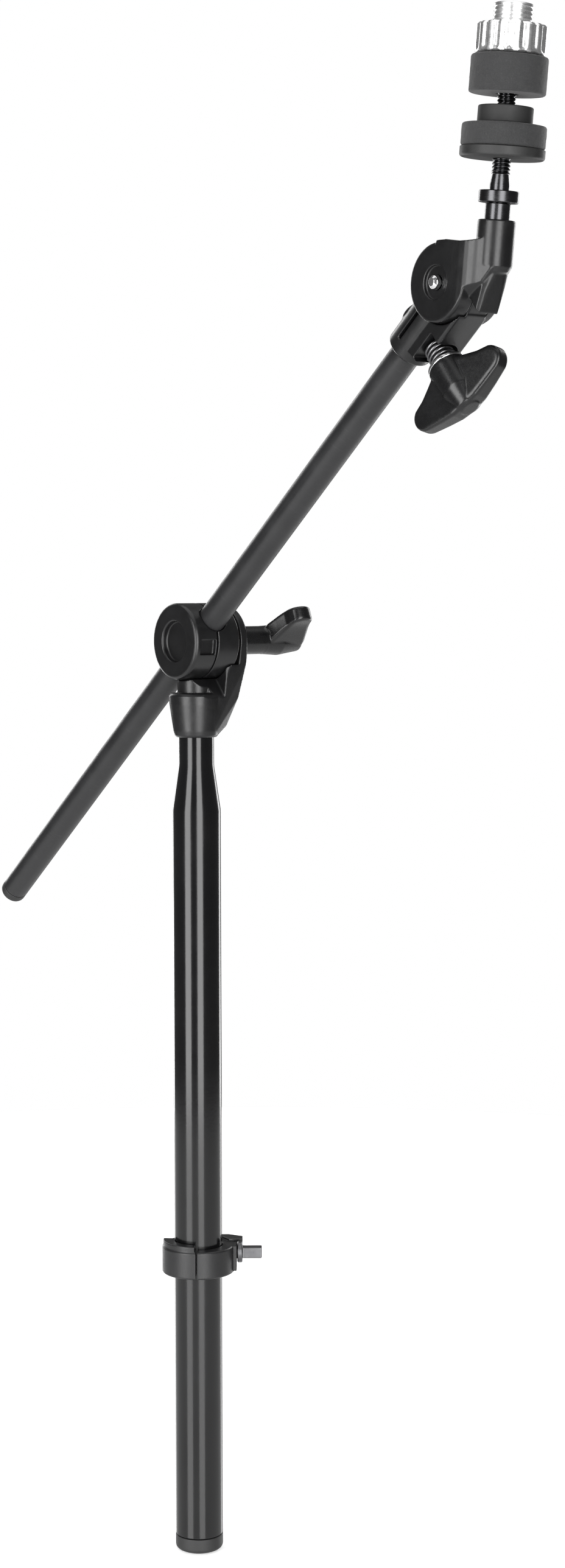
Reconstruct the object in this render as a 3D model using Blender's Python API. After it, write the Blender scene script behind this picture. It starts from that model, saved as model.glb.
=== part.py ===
"""A boom arm for a drum-hardware stand: a post, a tilting rod clamp, a boom rod, a tilter and a cymbal seat.

Metres, +Z up. The origin is the foot of the post on its axis. The boom swings in the XZ plane, towards +X.
"""

import math

import bmesh
import bpy
from mathutils import Matrix, Vector

MM = 0.001
GAP = 0.3 * MM

# Post: a swaged tube with a thin neck
POST_R = 11.1 * MM
POST_WALL = 1.5 * MM
NECK_R = 8.05 * MM
SHOULDER_LOW = 348 * MM
SHOULDER_HIGH = 369 * MM
NECK_TOP = 398 * MM
PLUG_HEAD = 7 * MM
PIN_Z = 390 * MM
PIN_TURN = math.radians(-37.5)
PLUG_DEPTH = 18 * MM

# Stop lock on the post
LOCK_LOW = 132.2 * MM
LOCK_HIGH = 145 * MM
LOCK_R = 16.8 * MM
LOCK_TAB = 2.5 * MM
LOCK_TURN = math.radians(52.5)
LOCK_SPLIT = 0.8 * MM
KEY_BOLT_Z = 141.2 * MM

# Boom clamp at the top of the post
CLAMP_Z = 425.7 * MM
BOOM_TILT = math.radians(39)
DRUM_R = 17.4 * MM
DRUM_FRONT = 12.4 * MM
DRUM_BACK = 12.2 * MM
EAR_FACE = 18.2 * MM
EAR_BACK = 13.8 * MM
EAR_R = 16.0 * MM
YOKE_LOW = 381.8 * MM
YOKE_HIGH = 402 * MM
YOKE_R = 9.9 * MM
EYE_R = 8.2 * MM
EYE_WIDTH = 8.0 * MM
CLAMP_BOLT_R = 3.9 * MM
CLAMP_BOLT_TIP = 54.5 * MM
CLAMP_WASHER_TOP = 20.0 * MM
CLAMP_NUT_Y = 36.9 * MM
CLAMP_NUT_TURN = math.radians(21)
CLAMP_NUT_NECK_R = 6.5 * MM

# Boom rod
BOOM_R = 6.35 * MM
BOOM_WALL = 1.6 * MM
BOOM_TAIL = 209.3 * MM
BOOM_REACH = 230.4 * MM
BOOM_CAP = 5 * MM

# Tilter on the boom's front end
HUB_R = 15.8 * MM
HUB_FRONT = -3.3 * MM
HUB_BACK = 6.9 * MM
SOCKET_R = 9.6 * MM
SOCKET_FROM = -38.0 * MM
BOOM_SEAT = -29.9 * MM
JAW_BOLT_X = -24.5 * MM
JAW_BOLT_R = 2.9 * MM
LUG_R = 6.9 * MM
LUG_LOW = -16.4 * MM
SPRING_SEAT = -10.2 * MM
LUG_HIGH = 8.6 * MM
JAW_SLIT = 1.6 * MM
JAW_NUT_Z = -21.9 * MM
JAW_NUT_TURN = math.radians(15)
CHEEK_R = 15.8 * MM
CHEEK_FRONT = -11.6 * MM
CHEEK_BACK = -3.6 * MM
BODY_FRONT = 6.4 * MM
COVER_FRONT = 7.2 * MM
COVER_BACK = 11.4 * MM
BOSS_R = 10.0 * MM

# Cymbal rod, measured up from the tilter's pivot
ROD_LEAN = math.radians(6.5)
ROD_OFFSET = 20.6 * MM
ROD_SOCKET_R = 7.45 * MM
ROD_SOCKET_LOW = 4.0 * MM
ROD_SOCKET_HIGH = 25.1 * MM
ROD_R = 4.97 * MM
COLLAR_LOW = 31.6 * MM
COLLAR_HIGH = 36.2 * MM
THREAD_CREST = 3.65 * MM
THREAD_ROOT = 3.05 * MM
THREAD_PITCH = 1.4 * MM
SEAT_LOW = 48.3 * MM
SEAT_R = 16.7 * MM
SEAT_CUP = 4.0 * MM
LOWER_FELT_HIGH = 61.2 * MM
BELL_REST_HIGH = 68.1 * MM
BELL_REST_R = 10.8 * MM
UPPER_FELT_LOW = 72.7 * MM
UPPER_FELT_HIGH = 87.0 * MM
UPPER_FELT_R = 15.0 * MM
NUT_LOW = 87.3 * MM
NUT_STEP = 98.9 * MM
NUT_HIGH = 106.6 * MM
NUT_R = 13.8 * MM
NUT_BOSS_R = 7.8 * MM
ROD_TIP = 105.6 * MM

TO_Y = Matrix.Rotation(math.radians(-90), 4, "X")
TO_X = Matrix.Rotation(math.radians(90), 4, "Y")
DOWN = Matrix.Rotation(math.radians(180), 4, "X")


# ---------------------------------------------------------------- scene helpers


def clear_scene():
    for thing in list(bpy.data.objects):
        bpy.data.objects.remove(thing, do_unlink=True)


def new_collection(name):
    group = bpy.data.collections.new(name)
    bpy.context.scene.collection.children.link(group)
    return group


def make_material(name, colour, roughness, metallic):
    material = bpy.data.materials.new(name)
    material.use_nodes = True
    shader = material.node_tree.nodes["Principled BSDF"]
    shader.inputs["Base Color"].default_value = (*colour, 1)
    shader.inputs["Roughness"].default_value = roughness
    shader.inputs["Metallic"].default_value = metallic
    material.diffuse_color = (*colour, 1)
    return material


def pivot(name, location, turn=0.0, about="Y", parent=None):
    """An empty on a joint's axis; the pieces that move with it are its children."""
    empty = bpy.data.objects.new(name, None)
    empty.empty_display_size = 0.02
    empty.matrix_world = Matrix.Translation(location) @ Matrix.Rotation(turn, 4, about)
    if parent:
        empty.parent = parent
        empty.matrix_parent_inverse = parent.matrix_world.inverted()
    PARTS.objects.link(empty)
    return empty


def piece(name, shape, material, parent=None):
    """A finished object from a bmesh given in its parent's frame."""
    mesh = bpy.data.meshes.new(name)
    shape.to_mesh(mesh)
    shape.free()
    mesh.materials.append(material)
    mesh.shade_smooth()
    mesh.set_sharp_from_angle(angle=math.radians(32))
    thing = bpy.data.objects.new(name, mesh)
    PARTS.objects.link(thing)
    thing.parent = parent
    return thing


def boolean(target, shape, operation, label):
    """Adds or removes a bmesh, given in the target's own frame, with a hidden helper object."""
    mesh = bpy.data.meshes.new(f"{target.name}_{label}")
    shape.to_mesh(mesh)
    shape.free()
    helper = bpy.data.objects.new(mesh.name, mesh)
    helper.parent = target.parent
    helper.hide_render = True
    helper.display_type = "WIRE"
    CUTTERS.objects.link(helper)
    step = target.modifiers.new(label, "BOOLEAN")
    step.operation = operation
    step.solver = "MANIFOLD"  # the exact solver leaves open edges on these castings
    step.object = helper


def cut(target, shape, label):
    boolean(target, shape, "DIFFERENCE", label)


def join(target, shape, label):
    boolean(target, shape, "UNION", label)


# ---------------------------------------------------------------- shape helpers


def revolve(outline, steps=36, place=None):
    """Turns (radius, height) points about Z. A closed ring if no point is on the axis."""
    shape = bmesh.new()
    points = [shape.verts.new((radius, 0, height)) for radius, height in outline]
    edges = [shape.edges.new(pair) for pair in zip(points, points[1:])]
    if min(radius for radius, _ in outline) > 0:
        edges.append(shape.edges.new((points[-1], points[0])))
    bmesh.ops.spin(shape, geom=points + edges, cent=(0, 0, 0), axis=(0, 0, 1),
                   angle=math.tau, steps=steps, use_merge=True)
    bmesh.ops.remove_doubles(shape, verts=shape.verts, dist=1e-7)
    bmesh.ops.recalc_face_normals(shape, faces=shape.faces)
    if place:
        shape.transform(place)
    return shape


def cylinder(radius, low, high, place=None, steps=32, chamfer=0.0):
    if chamfer:
        outline = [(0, high), (radius - chamfer, high), (radius, high - chamfer),
                   (radius, low + chamfer), (radius - chamfer, low), (0, low)]
    else:
        outline = [(0, high), (radius, high), (radius, low), (0, low)]
    return revolve(outline, steps, place)


def ring(inner, outer, low, high, place=None, steps=36, chamfer=0.0):
    outline = [(inner, high), (outer - chamfer, high)]
    if chamfer:
        outline += [(outer, high - chamfer), (outer, low + chamfer)]
    outline += [(outer - chamfer, low), (inner, low)]
    return revolve(outline, steps, place)


def box(low, high, place=None):
    shape = bmesh.new()
    bmesh.ops.create_cube(shape, size=1)
    size = Vector(high) - Vector(low)
    centre = (Vector(high) + Vector(low)) / 2
    shape.transform(Matrix.Translation(centre) @ Matrix.Diagonal((*size, 1)))
    if place:
        shape.transform(place)
    return shape


def prism(outline, low, high, rounding=0.0):
    """An (x, z) outline pushed along Y from low to high, with its long edges rounded."""
    shape = bmesh.new()
    base = shape.faces.new([shape.verts.new((x, low, z)) for x, z in outline])
    pushed = bmesh.ops.extrude_face_region(shape, geom=[base])["geom"]
    moved = [item for item in pushed if isinstance(item, bmesh.types.BMVert)]
    bmesh.ops.translate(shape, verts=moved, vec=(0, high - low, 0))
    bmesh.ops.recalc_face_normals(shape, faces=shape.faces)
    if rounding:
        rims = [edge for edge in shape.edges if abs(edge.verts[0].co.y - edge.verts[1].co.y) < 1e-9]
        bmesh.ops.bevel(shape, geom=rims, offset=rounding, segments=2, profile=0.5, affect="EDGES")
    return shape


def hull(points):
    shape = bmesh.new()
    for point in points:
        shape.verts.new(point)
    made = bmesh.ops.convex_hull(shape, input=shape.verts)
    spare = [item for item in made["geom_interior"] + made["geom_unused"] if item.is_valid]
    bmesh.ops.delete(shape, geom=list(set(spare)), context="VERTS")
    bmesh.ops.recalc_face_normals(shape, faces=shape.faces)
    return shape


def circle(radius, centre, normal, steps=32):
    """Points on a circle, for a hull."""
    turn = Vector(normal).to_track_quat("Z", "X")
    angles = [math.tau * step / steps for step in range(steps)]
    return [Vector(centre) + turn @ Vector((radius * math.cos(a), radius * math.sin(a), 0)) for a in angles]


def arc(centre, radius, start, end, steps):
    """Points on an arc in a 2-D outline, by angle in degrees."""
    angles = [math.radians(start + (end - start) * step / steps) for step in range(steps + 1)]
    return [(centre[0] + radius * math.cos(a), centre[1] + radius * math.sin(a)) for a in angles]


def thread_outline(low, high):
    """Vee ridges down the outside of a rod from high to low, one each pitch."""
    points = []
    height = high
    while height - THREAD_PITCH > low:
        points += [(THREAD_ROOT, height), (THREAD_CREST, height - THREAD_PITCH / 2)]
        height -= THREAD_PITCH
    return points + [(THREAD_ROOT, height)]


def coil(name, radius, wire, low, high, turns, material, parent, place):
    """A compression spring: a round wire wound about the given axis."""
    curve = bpy.data.curves.new(name, "CURVE")
    curve.dimensions = "3D"
    curve.bevel_depth = wire / 2
    curve.bevel_resolution = 1
    curve.use_fill_caps = True
    count = 13 * turns
    line = curve.splines.new("POLY")
    line.points.add(count)
    bottom = low + wire / 2
    rise = high - low - wire
    for index, point in enumerate(line.points):
        angle = math.tau * turns * index / count
        where = Vector((radius * math.cos(angle), radius * math.sin(angle), bottom + rise * index / count))
        point.co = (*(place @ where), 1)
    curve.materials.append(material)
    thing = bpy.data.objects.new(name, curve)
    PARTS.objects.link(thing)
    thing.parent = parent
    return thing


def smooth_step(share):
    share = min(max(share, 0), 1)
    return share * share * (3 - 2 * share)


def wing_nut(name, bore, neck, sweep, span, material, parent, place):
    """A cast wing nut. Its wings start at height 0, lie along X and sweep towards -Y; a neck may run down."""
    half = [(0, 0.6), (6.5, 0.8), (10.6, 3.0), (15.2, 5.3)]
    half += arc((17.2, 11.8), 5.8, -60, 72, 6)
    half += [(12.4, 19.4), (6.2, 21.1), (0, 21.6)]
    mirrored = [(-x, z) for x, z in reversed(half[1:-1])]
    blank = prism([(x * MM, z * MM) for x, z in half + mirrored], -5.2 * MM, 5.2 * MM, 1.8 * MM)
    for vertex in blank.verts:
        vertex.co.x *= span
        reach = abs(vertex.co.x)
        bent = sweep * smooth_step(reach / (18 * MM))
        vertex.co.y = vertex.co.y * (1 - 0.35 * reach / (23.5 * MM)) - bent
    nut = piece(name, placed(blank, place), material, parent)
    foot = CLAMP_NUT_NECK_R / MM + 0.1 if neck else 8.2
    hub = [(0, 21.8), (3.6, 21.8), (5.5, 20.6), (7.2, 9.0), (foot, 1.2), (foot, 0), (0, 0)]
    join(nut, revolve([(r * MM, z * MM) for r, z in hub], 28, place), "hub")
    if neck:
        join(nut, cylinder(CLAMP_NUT_NECK_R, -neck, 1 * MM, place, 28), "neck")
    cut(nut, cylinder(bore, -neck - 1 * MM, 18.4 * MM, place, 24), "bore")
    return nut


def placed(shape, place):
    shape.transform(place)
    return shape


# ---------------------------------------------------------------- post


def post_tube():
    inner = POST_R - POST_WALL
    neck_inner = NECK_R - POST_WALL
    outline = [
        (neck_inner, NECK_TOP), (NECK_R, NECK_TOP), (NECK_R, SHOULDER_HIGH),
        (NECK_R + 0.7 * MM, SHOULDER_HIGH - 4 * MM), (POST_R - 0.7 * MM, SHOULDER_LOW + 4 * MM),
        (POST_R, SHOULDER_LOW), (POST_R, PLUG_HEAD + GAP), (inner, PLUG_HEAD + GAP),
        (inner, SHOULDER_LOW - 2 * MM), (neck_inner, SHOULDER_HIGH - 2 * MM),
    ]
    tube = piece("post_tube", revolve(outline, 36), GLOSS_BLACK)
    cut(tube, cylinder(1.7 * MM, -12 * MM, 12 * MM, across_pin(), 16), "pin_hole")
    return tube


def post_plug():
    spigot = POST_R - POST_WALL - GAP
    round_foot = [(x, z) for x, z in arc((POST_R - 4.6 * MM, 4.6 * MM), 4.6 * MM, 0, -90, 4)]
    outline = [(0, PLUG_DEPTH), (spigot - 0.6 * MM, PLUG_DEPTH), (spigot, PLUG_DEPTH - 1 * MM),
               (spigot, PLUG_HEAD), (POST_R, PLUG_HEAD), *round_foot, (0, 0)]
    return piece("post_end_plug", revolve(outline, 32), BLACK_PLASTIC)


def across_pin():
    """Places a rod's local Z along the pin that locks the yoke to the neck."""
    return Matrix.Translation((0, 0, PIN_Z)) @ Matrix.Rotation(PIN_TURN, 4, "Z") @ TO_X


def yoke():
    """Socket on the neck, swept up into one ear beside the drum."""
    pivot_at = (0, 0, CLAMP_Z)
    socket = [(0, YOKE_HIGH), (11.6 * MM, YOKE_HIGH), (12.6 * MM, YOKE_HIGH - 1.2 * MM),
              (12.3 * MM, YOKE_HIGH - 5 * MM), (YOKE_R + 0.6 * MM, YOKE_LOW + 3 * MM),
              (YOKE_R, YOKE_LOW + 0.8 * MM), (YOKE_R - 0.8 * MM, YOKE_LOW), (0, YOKE_LOW)]
    casting = piece("clamp_yoke", revolve(socket, 32), CAST_BLACK)
    ear = circle(EAR_R, (0, EAR_BACK - 1 * MM, CLAMP_Z), (0, 1, 0), 40)
    ear += circle(EAR_R, (0, EAR_FACE - 1 * MM, CLAMP_Z), (0, 1, 0), 40)
    ear += circle(EAR_R - 1 * MM, (0, EAR_FACE, CLAMP_Z), (0, 1, 0), 40)
    ear += circle(YOKE_R - 0.2 * MM, (0, 0, YOKE_LOW + 0.9 * MM), (0, 0, 1), 28)
    ear += [(side * 14.4 * MM, EAR_FACE, 416 * MM) for side in (-1, 1)]
    ear += [(side * 10.6 * MM, EAR_FACE - 1.8 * MM, 400 * MM) for side in (-1, 1)]
    ear += [(side * 7 * MM, EAR_FACE - 6 * MM, 387 * MM) for side in (-1, 1)]
    ear += [(side * 5 * MM, 8.6 * MM, YOKE_LOW + 0.9 * MM) for side in (-1, 1)]
    join(casting, hull(ear), "ear")
    join(casting, cylinder(8.6 * MM, YOKE_HIGH - 1 * MM, YOKE_HIGH + 7 * MM, None, 32), "saddle")
    swing = Matrix.Translation(pivot_at) @ TO_Y
    cut(casting, cylinder(DRUM_R + 0.5 * MM, -30 * MM, EAR_BACK, swing, 40), "drum_room")
    cut(casting, boom_sweep(), "boom_room")
    cut(casting, cylinder(CLAMP_BOLT_R + GAP, 0, 30 * MM, swing, 32), "bolt_hole")
    cut(casting, cylinder(NECK_R + GAP, YOKE_LOW - 1 * MM, NECK_TOP + GAP, None, 36), "neck_bore")
    cut(casting, cylinder(1.7 * MM, -14 * MM, 0, across_pin(), 16), "pin_hole")
    return casting


def boom_sweep():
    """The space the rod passes through as the drum tilts, leaving a saddle under the drum."""
    steepest = math.radians(50)
    middle = CLAMP_Z - (BOOM_R + 0.5 * MM) / math.cos(steepest)
    reach = 60 * MM
    end = middle - reach * math.tan(steepest)
    top = CLAMP_Z + 40 * MM
    return prism([(0, middle), (reach, end), (reach, top), (-reach, top), (-reach, end)], -40 * MM, BOOM_R + 0.8 * MM)


def yoke_pin():
    """Slotted spring pin through the yoke and the neck."""
    return piece("yoke_pin", cylinder(1.4 * MM, -11.0 * MM, 8.0 * MM, across_pin(), 20, 0.3 * MM), ZINC)


# ---------------------------------------------------------------- stop lock


def stop_lock_ring(parent):
    """Split collar with a raised key, an index tab and a boss for its clamp screw."""
    low = LOCK_LOW - KEY_BOLT_Z
    high = LOCK_HIGH - KEY_BOLT_Z
    inner = POST_R + GAP
    collar = piece("stop_lock_ring", ring(inner, LOCK_R, low, high, None, 36, 0.9 * MM), SATIN_BLACK, parent)
    sector = arc((0, 0), LOCK_R - 0.5 * MM, 95, 185, 9) + arc((0, 0), inner + 0.2 * MM, 185, 95, 9)
    key = prism(sector, high - 2 * MM, high + LOCK_TAB, 0.4 * MM)
    join(collar, placed(key, Matrix.Rotation(math.radians(90), 4, "X")), "key")
    join(collar, box((13 * MM, -4.2 * MM, low + 1 * MM), (17.9 * MM, 4.2 * MM, high - 0.1 * MM)), "boss")
    tab = [(8, 14), (14, 14), (20.5, 10.6), (20.5, 6.2), (14, 5.4)]
    join(collar, hull([(x * MM, y * MM, z) for x, y in tab for z in (high - 4 * MM, high + 1.0 * MM)]), "index_tab")
    cut(collar, box((-LOCK_SPLIT, -20 * MM, low - 1 * MM), (0, -POST_R + 2 * MM, high + 4 * MM)), "split")
    cut(collar, cylinder(3.0 * MM + 0.2 * MM, 10 * MM, 19 * MM, TO_X, 24), "screw_hole")
    return collar


def key_bolt(parent):
    """Square-headed clamp screw with a flange."""
    outline = [(0, 20.6), (4.5, 20.6), (4.9, 20.2), (4.9, 18.6), (4.5, 18.2), (3.0, 18.2), (3.0, 12.2),
               (2.4, 11.6), (0, 11.6)]
    screw = piece("key_bolt", revolve([(r * MM, z * MM) for r, z in outline], 32, TO_X), CHROME, parent)
    head = box((-2.5 * MM, -2.5 * MM, 20 * MM), (2.5 * MM, 2.5 * MM, 29.6 * MM))
    bmesh.ops.bevel(head, geom=list(head.edges), offset=0.5 * MM, segments=1, affect="EDGES")
    join(screw, placed(head, TO_X), "head")
    return screw


# ---------------------------------------------------------------- boom clamp, local X along the boom


def drum_half(name, outline, parent):
    half = piece(name, revolve(outline, 44, TO_Y), CAST_BLACK, parent)
    cut(half, cylinder(BOOM_R + GAP, -30 * MM, 30 * MM, TO_X, 28), "rod_groove")
    cut(half, cylinder(EYE_R + GAP, -EYE_WIDTH / 2 - GAP, EYE_WIDTH / 2 + GAP, TO_X, 28), "eye_room")
    return half


def drum_cap(parent):
    front = -DRUM_FRONT
    recess = 9.2 * MM
    outline = [(0, -GAP), (DRUM_R, -GAP), (DRUM_R, front + 1.6 * MM), (DRUM_R - 0.5 * MM, front + 0.5 * MM),
               (DRUM_R - 1.6 * MM, front), (recess + 0.6 * MM, front), (recess, front + 0.6 * MM),
               (recess, front + 2.8 * MM), (0, front + 2.8 * MM)]
    cap = drum_half("drum_cap", outline, parent)
    for side in (-1, 1):
        post = Matrix.Translation((0, 0, side * 12.0 * MM)) @ TO_Y
        cut(cap, cylinder(1.5 * MM, -8.4 * MM, 1 * MM, post, 16), f"screw_hole_{side + 1}")
    pocket = box((DRUM_R - 2.2 * MM, -9.4 * MM, -3.4 * MM), (DRUM_R + 2 * MM, -1.2 * MM, 3.4 * MM))
    cut(cap, placed(pocket, Matrix.Rotation(math.radians(47), 4, "Y")), "pocket")
    return cap


def drum_inner(parent):
    outline = [(0, DRUM_BACK), (DRUM_R - 0.6 * MM, DRUM_BACK), (DRUM_R, DRUM_BACK - 0.6 * MM),
               (DRUM_R, GAP), (0, GAP)]
    half = drum_half("drum_inner", outline, parent)
    cut(half, cylinder(CLAMP_BOLT_R + GAP, 5 * MM, 15 * MM, TO_Y, 32), "bolt_hole")
    for side in (-1, 1):
        post = Matrix.Translation((0, 0, side * 12.0 * MM)) @ TO_Y
        cut(half, cylinder(1.8 * MM, -1 * MM, 14 * MM, post, 16), f"screw_hole_{side + 1}")
        cut(half, cylinder(3.1 * MM, 8.9 * MM, 14 * MM, post, 20), f"head_room_{side + 1}")
    return half


def cap_screw(name, side, parent):
    """Pan-head screw that holds the drum's two halves together."""
    outline = [(0, 11.7), (1.9, 11.7), (2.75, 10.9), (2.75, 9.2), (1.2, 9.2), (1.2, -7.2), (0.6, -8.0), (0, -8.0)]
    place = Matrix.Translation((0, 0, side * 12.0 * MM)) @ TO_Y
    return piece(name, revolve([(r * MM, z * MM) for r, z in outline], 20, place), ZINC, parent)


def eye_bolt(parent):
    """The eye goes round the boom rod and the shank runs out through the drum and the ear."""
    inner = BOOM_R + GAP
    half = EYE_WIDTH / 2
    eye = ring(inner, EYE_R, -half, half, TO_X, 32, 0.7 * MM)
    bolt = piece("eye_bolt", eye, ZINC, parent)
    shank = [(0, CLAMP_BOLT_TIP), (CLAMP_BOLT_R - 0.8 * MM, CLAMP_BOLT_TIP),
             (CLAMP_BOLT_R, CLAMP_BOLT_TIP - 0.8 * MM), (CLAMP_BOLT_R, 7.4 * MM), (0, 7.4 * MM)]
    join(bolt, revolve(shank, 32, TO_Y), "shank")
    return bolt


def clamp_stack(parent):
    """Friction disc between the drum and the ear, and the washer outside the ear."""
    hole = CLAMP_BOLT_R + GAP
    piece("friction_disc", ring(hole, 15.2 * MM, DRUM_BACK + GAP, EAR_BACK - GAP, TO_Y, 36), FIBRE, parent)
    piece("clamp_washer", ring(hole, 7.8 * MM, 18.5 * MM, CLAMP_WASHER_TOP, TO_Y, 28, 0.3 * MM), CHROME, parent)


def clamp_wing_nut(parent):
    turn = Matrix.Translation((0, CLAMP_NUT_Y, 0)) @ Matrix.Rotation(BOOM_TILT - CLAMP_NUT_TURN, 4, "Y") @ TO_Y
    neck = CLAMP_NUT_Y - CLAMP_WASHER_TOP - GAP
    return wing_nut("clamp_wing_nut", CLAMP_BOLT_R + GAP, neck, 5.2 * MM, 0.985, GLOSS_CAST, parent, turn)


# ---------------------------------------------------------------- boom rod, local X along the boom


def boom_rod(parent):
    low = -BOOM_TAIL + BOOM_CAP + GAP
    high = BOOM_REACH + BOOM_SEAT
    inner = BOOM_R - BOOM_WALL
    outline = [(inner, high), (BOOM_R - 0.4 * MM, high), (BOOM_R, high - 0.4 * MM), (BOOM_R, low), (inner, low)]
    return piece("boom_rod", revolve(outline, 36, TO_X), SATIN_BLACK, parent)


def boom_end_cap(parent):
    low = -BOOM_TAIL
    spigot = BOOM_R - BOOM_WALL - 0.2 * MM
    nose = arc((BOOM_R - 2.2 * MM, low + 2.2 * MM), 2.2 * MM, 0, -90, 4)
    outline = [(0, low + 15 * MM), (spigot - 0.5 * MM, low + 15 * MM), (spigot, low + 14.4 * MM),
               (spigot, low + BOOM_CAP), (BOOM_R, low + BOOM_CAP), *nose, (0, low)]
    return piece("boom_end_cap", revolve(outline, 24, TO_X), BLACK_PLASTIC, parent)


# ---------------------------------------------------------------- tilter base, local X along the boom


def tilter_base(parent):
    """Socket on the boom, split into two jaws that grip the arm's boss."""
    outline = [(0, -12 * MM), (SOCKET_R, -12 * MM), (SOCKET_R, SOCKET_FROM + 1.2 * MM),
               (SOCKET_R - 1.2 * MM, SOCKET_FROM), (0, SOCKET_FROM)]
    base = piece("tilter_base", revolve(outline, 32, TO_X), CAST_BLACK, parent)
    across = Matrix.Translation((JAW_BOLT_X, 0, 0))
    join(base, cylinder(LUG_R, -2 * MM, LUG_HIGH, across, 28, 0.8 * MM), "upper_jaw")
    join(base, lower_jaw(), "lower_jaw")
    cut(base, cylinder(6.9 * MM, -30 * MM, SPRING_SEAT, across, 28), "spring_room")
    cut(base, box((JAW_BOLT_X - 6.95 * MM, -14 * MM, -30 * MM), (JAW_BOLT_X + 6.95 * MM, 0, SPRING_SEAT)), "open_side")
    for label, low, high in (("front_room", -12 * MM, HUB_FRONT), ("back_room", HUB_BACK, 12 * MM)):
        cut(base, cylinder(CHEEK_R + 0.5 * MM, low, high, TO_Y, 40), label)
    join(base, cylinder(HUB_R, HUB_FRONT, HUB_BACK, TO_Y, 40), "band")
    cut(base, cylinder(BOSS_R + GAP, -5 * MM, 9 * MM, TO_Y, 40), "boss_bore")
    cut(base, cylinder(BOOM_R + GAP, SOCKET_FROM - 1 * MM, BOOM_SEAT + GAP, TO_X, 36), "boom_bore")
    cut(base, box((-31.5 * MM, -12 * MM, -JAW_SLIT / 2), (-8 * MM, 12 * MM, JAW_SLIT / 2)), "slit")
    cut(base, cylinder(JAW_BOLT_R + GAP, -14 * MM, 14 * MM, across, 24), "bolt_hole")
    cut(base, cylinder(5.4 * MM, 4.4 * MM, 14 * MM, across, 32), "head_room")
    return base


def lower_jaw():
    """Block from the socket's underside to the spring seat, with a wall round the spring's back."""
    points = [(x, y, LUG_LOW) for x in (-0.8 * MM, -30.2 * MM) for y in (-6.5 * MM, 7.6 * MM)]
    points += [(x, y, LUG_LOW + 1 * MM) for x in (0.2 * MM, -31.0 * MM) for y in (-7.4 * MM, 8.5 * MM)]
    points += [(x, y, -1.5 * MM) for x in (-6 * MM, -33.5 * MM) for y in (-7.4 * MM, 8.5 * MM)]
    return hull(points)


def tilter_bolt(parent):
    across = Matrix.Translation((JAW_BOLT_X, 0, 0))
    head = revolve([(0, 8.2 * MM), (4.3 * MM, 8.2 * MM), (5.0 * MM, 7.7 * MM), (5.0 * MM, 4.7 * MM), (0, 4.7 * MM)],
                   6, across)
    bolt = piece("tilter_bolt", head, SATIN_BLACK, parent)
    shank = [(0, 5.5 * MM), (JAW_BOLT_R, 5.5 * MM), (JAW_BOLT_R, -37.8 * MM), (JAW_BOLT_R - 0.6 * MM, -38.6 * MM),
             (0, -38.6 * MM)]
    join(bolt, revolve(shank, 24, across), "shank")
    return bolt


def jaw_stack(parent):
    across = Matrix.Translation((JAW_BOLT_X, 0, 0))
    coil("tilter_spring", 4.9 * MM, 1.5 * MM, -19.8 * MM, -10.5 * MM, 4, STEEL, parent, across)
    hole = JAW_BOLT_R + GAP
    piece("tilter_washer", ring(hole, 7.9 * MM, -21.6 * MM, -20.1 * MM, across, 32, 0.3 * MM), CHROME, parent)


def tilter_wing_nut(parent):
    place = Matrix.Translation((JAW_BOLT_X, 0, JAW_NUT_Z)) @ Matrix.Rotation(JAW_NUT_TURN, 4, "Z") @ DOWN
    return wing_nut("tilter_wing_nut", JAW_BOLT_R + GAP, 0.0, 0.2 * MM, 1.03, GLOSS_CAST, parent, place)


# ---------------------------------------------------------------- tilter arm, local Z along the cymbal rod


def tilter_arm(parent):
    """Cheek, boss and web cast in one with the upright socket."""
    front = CHEEK_FRONT
    disc = [(0, CHEEK_BACK), (CHEEK_R, CHEEK_BACK), (CHEEK_R, front + 1.4 * MM),
            (CHEEK_R - 0.4 * MM, front + 0.4 * MM), (CHEEK_R - 1.4 * MM, front), (0, front)]
    arm = piece("tilter_arm", revolve(disc, 44, TO_Y), CAST_BLACK, parent)
    join(arm, web_blank(), "web")
    cut(arm, cylinder(40 * MM, -14 * MM, -2 * MM, Matrix.Translation((10.6 * MM, 0, 56.4 * MM)) @ TO_Y, 160), "dip")
    cut(arm, face_lean(), "lean")
    cut(arm, cylinder(6.8 * MM, front - 1 * MM, front + 1.4 * MM, TO_Y, 36), "recess")
    stand = [(0, ROD_SOCKET_HIGH), (ROD_SOCKET_R - 0.5 * MM, ROD_SOCKET_HIGH),
             (ROD_SOCKET_R, ROD_SOCKET_HIGH - 0.5 * MM), (ROD_SOCKET_R, ROD_SOCKET_LOW + 3.5 * MM),
             (ROD_SOCKET_R - 1.2 * MM, ROD_SOCKET_LOW + 1 * MM), (ROD_SOCKET_R - 3.6 * MM, ROD_SOCKET_LOW),
             (0, ROD_SOCKET_LOW)]
    upright = Matrix.Translation((ROD_OFFSET, 0, 0))
    join(arm, revolve(stand, 32, upright), "socket")
    join(arm, elbow_blank(), "elbow")
    cut(arm, cylinder(HUB_R + 0.5 * MM, HUB_FRONT - GAP, 14 * MM, TO_Y, 40), "band_room")
    join(arm, cylinder(BOSS_R, CHEEK_BACK - 1 * MM, HUB_BACK, TO_Y, 40), "boss")
    cut(arm, cylinder(2.5 * MM + GAP, -14 * MM, 14 * MM, TO_Y, 24), "rivet_hole")
    cut(arm, cylinder(ROD_R + GAP, 8 * MM, 30 * MM, upright, 36), "rod_bore")
    return arm


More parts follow.
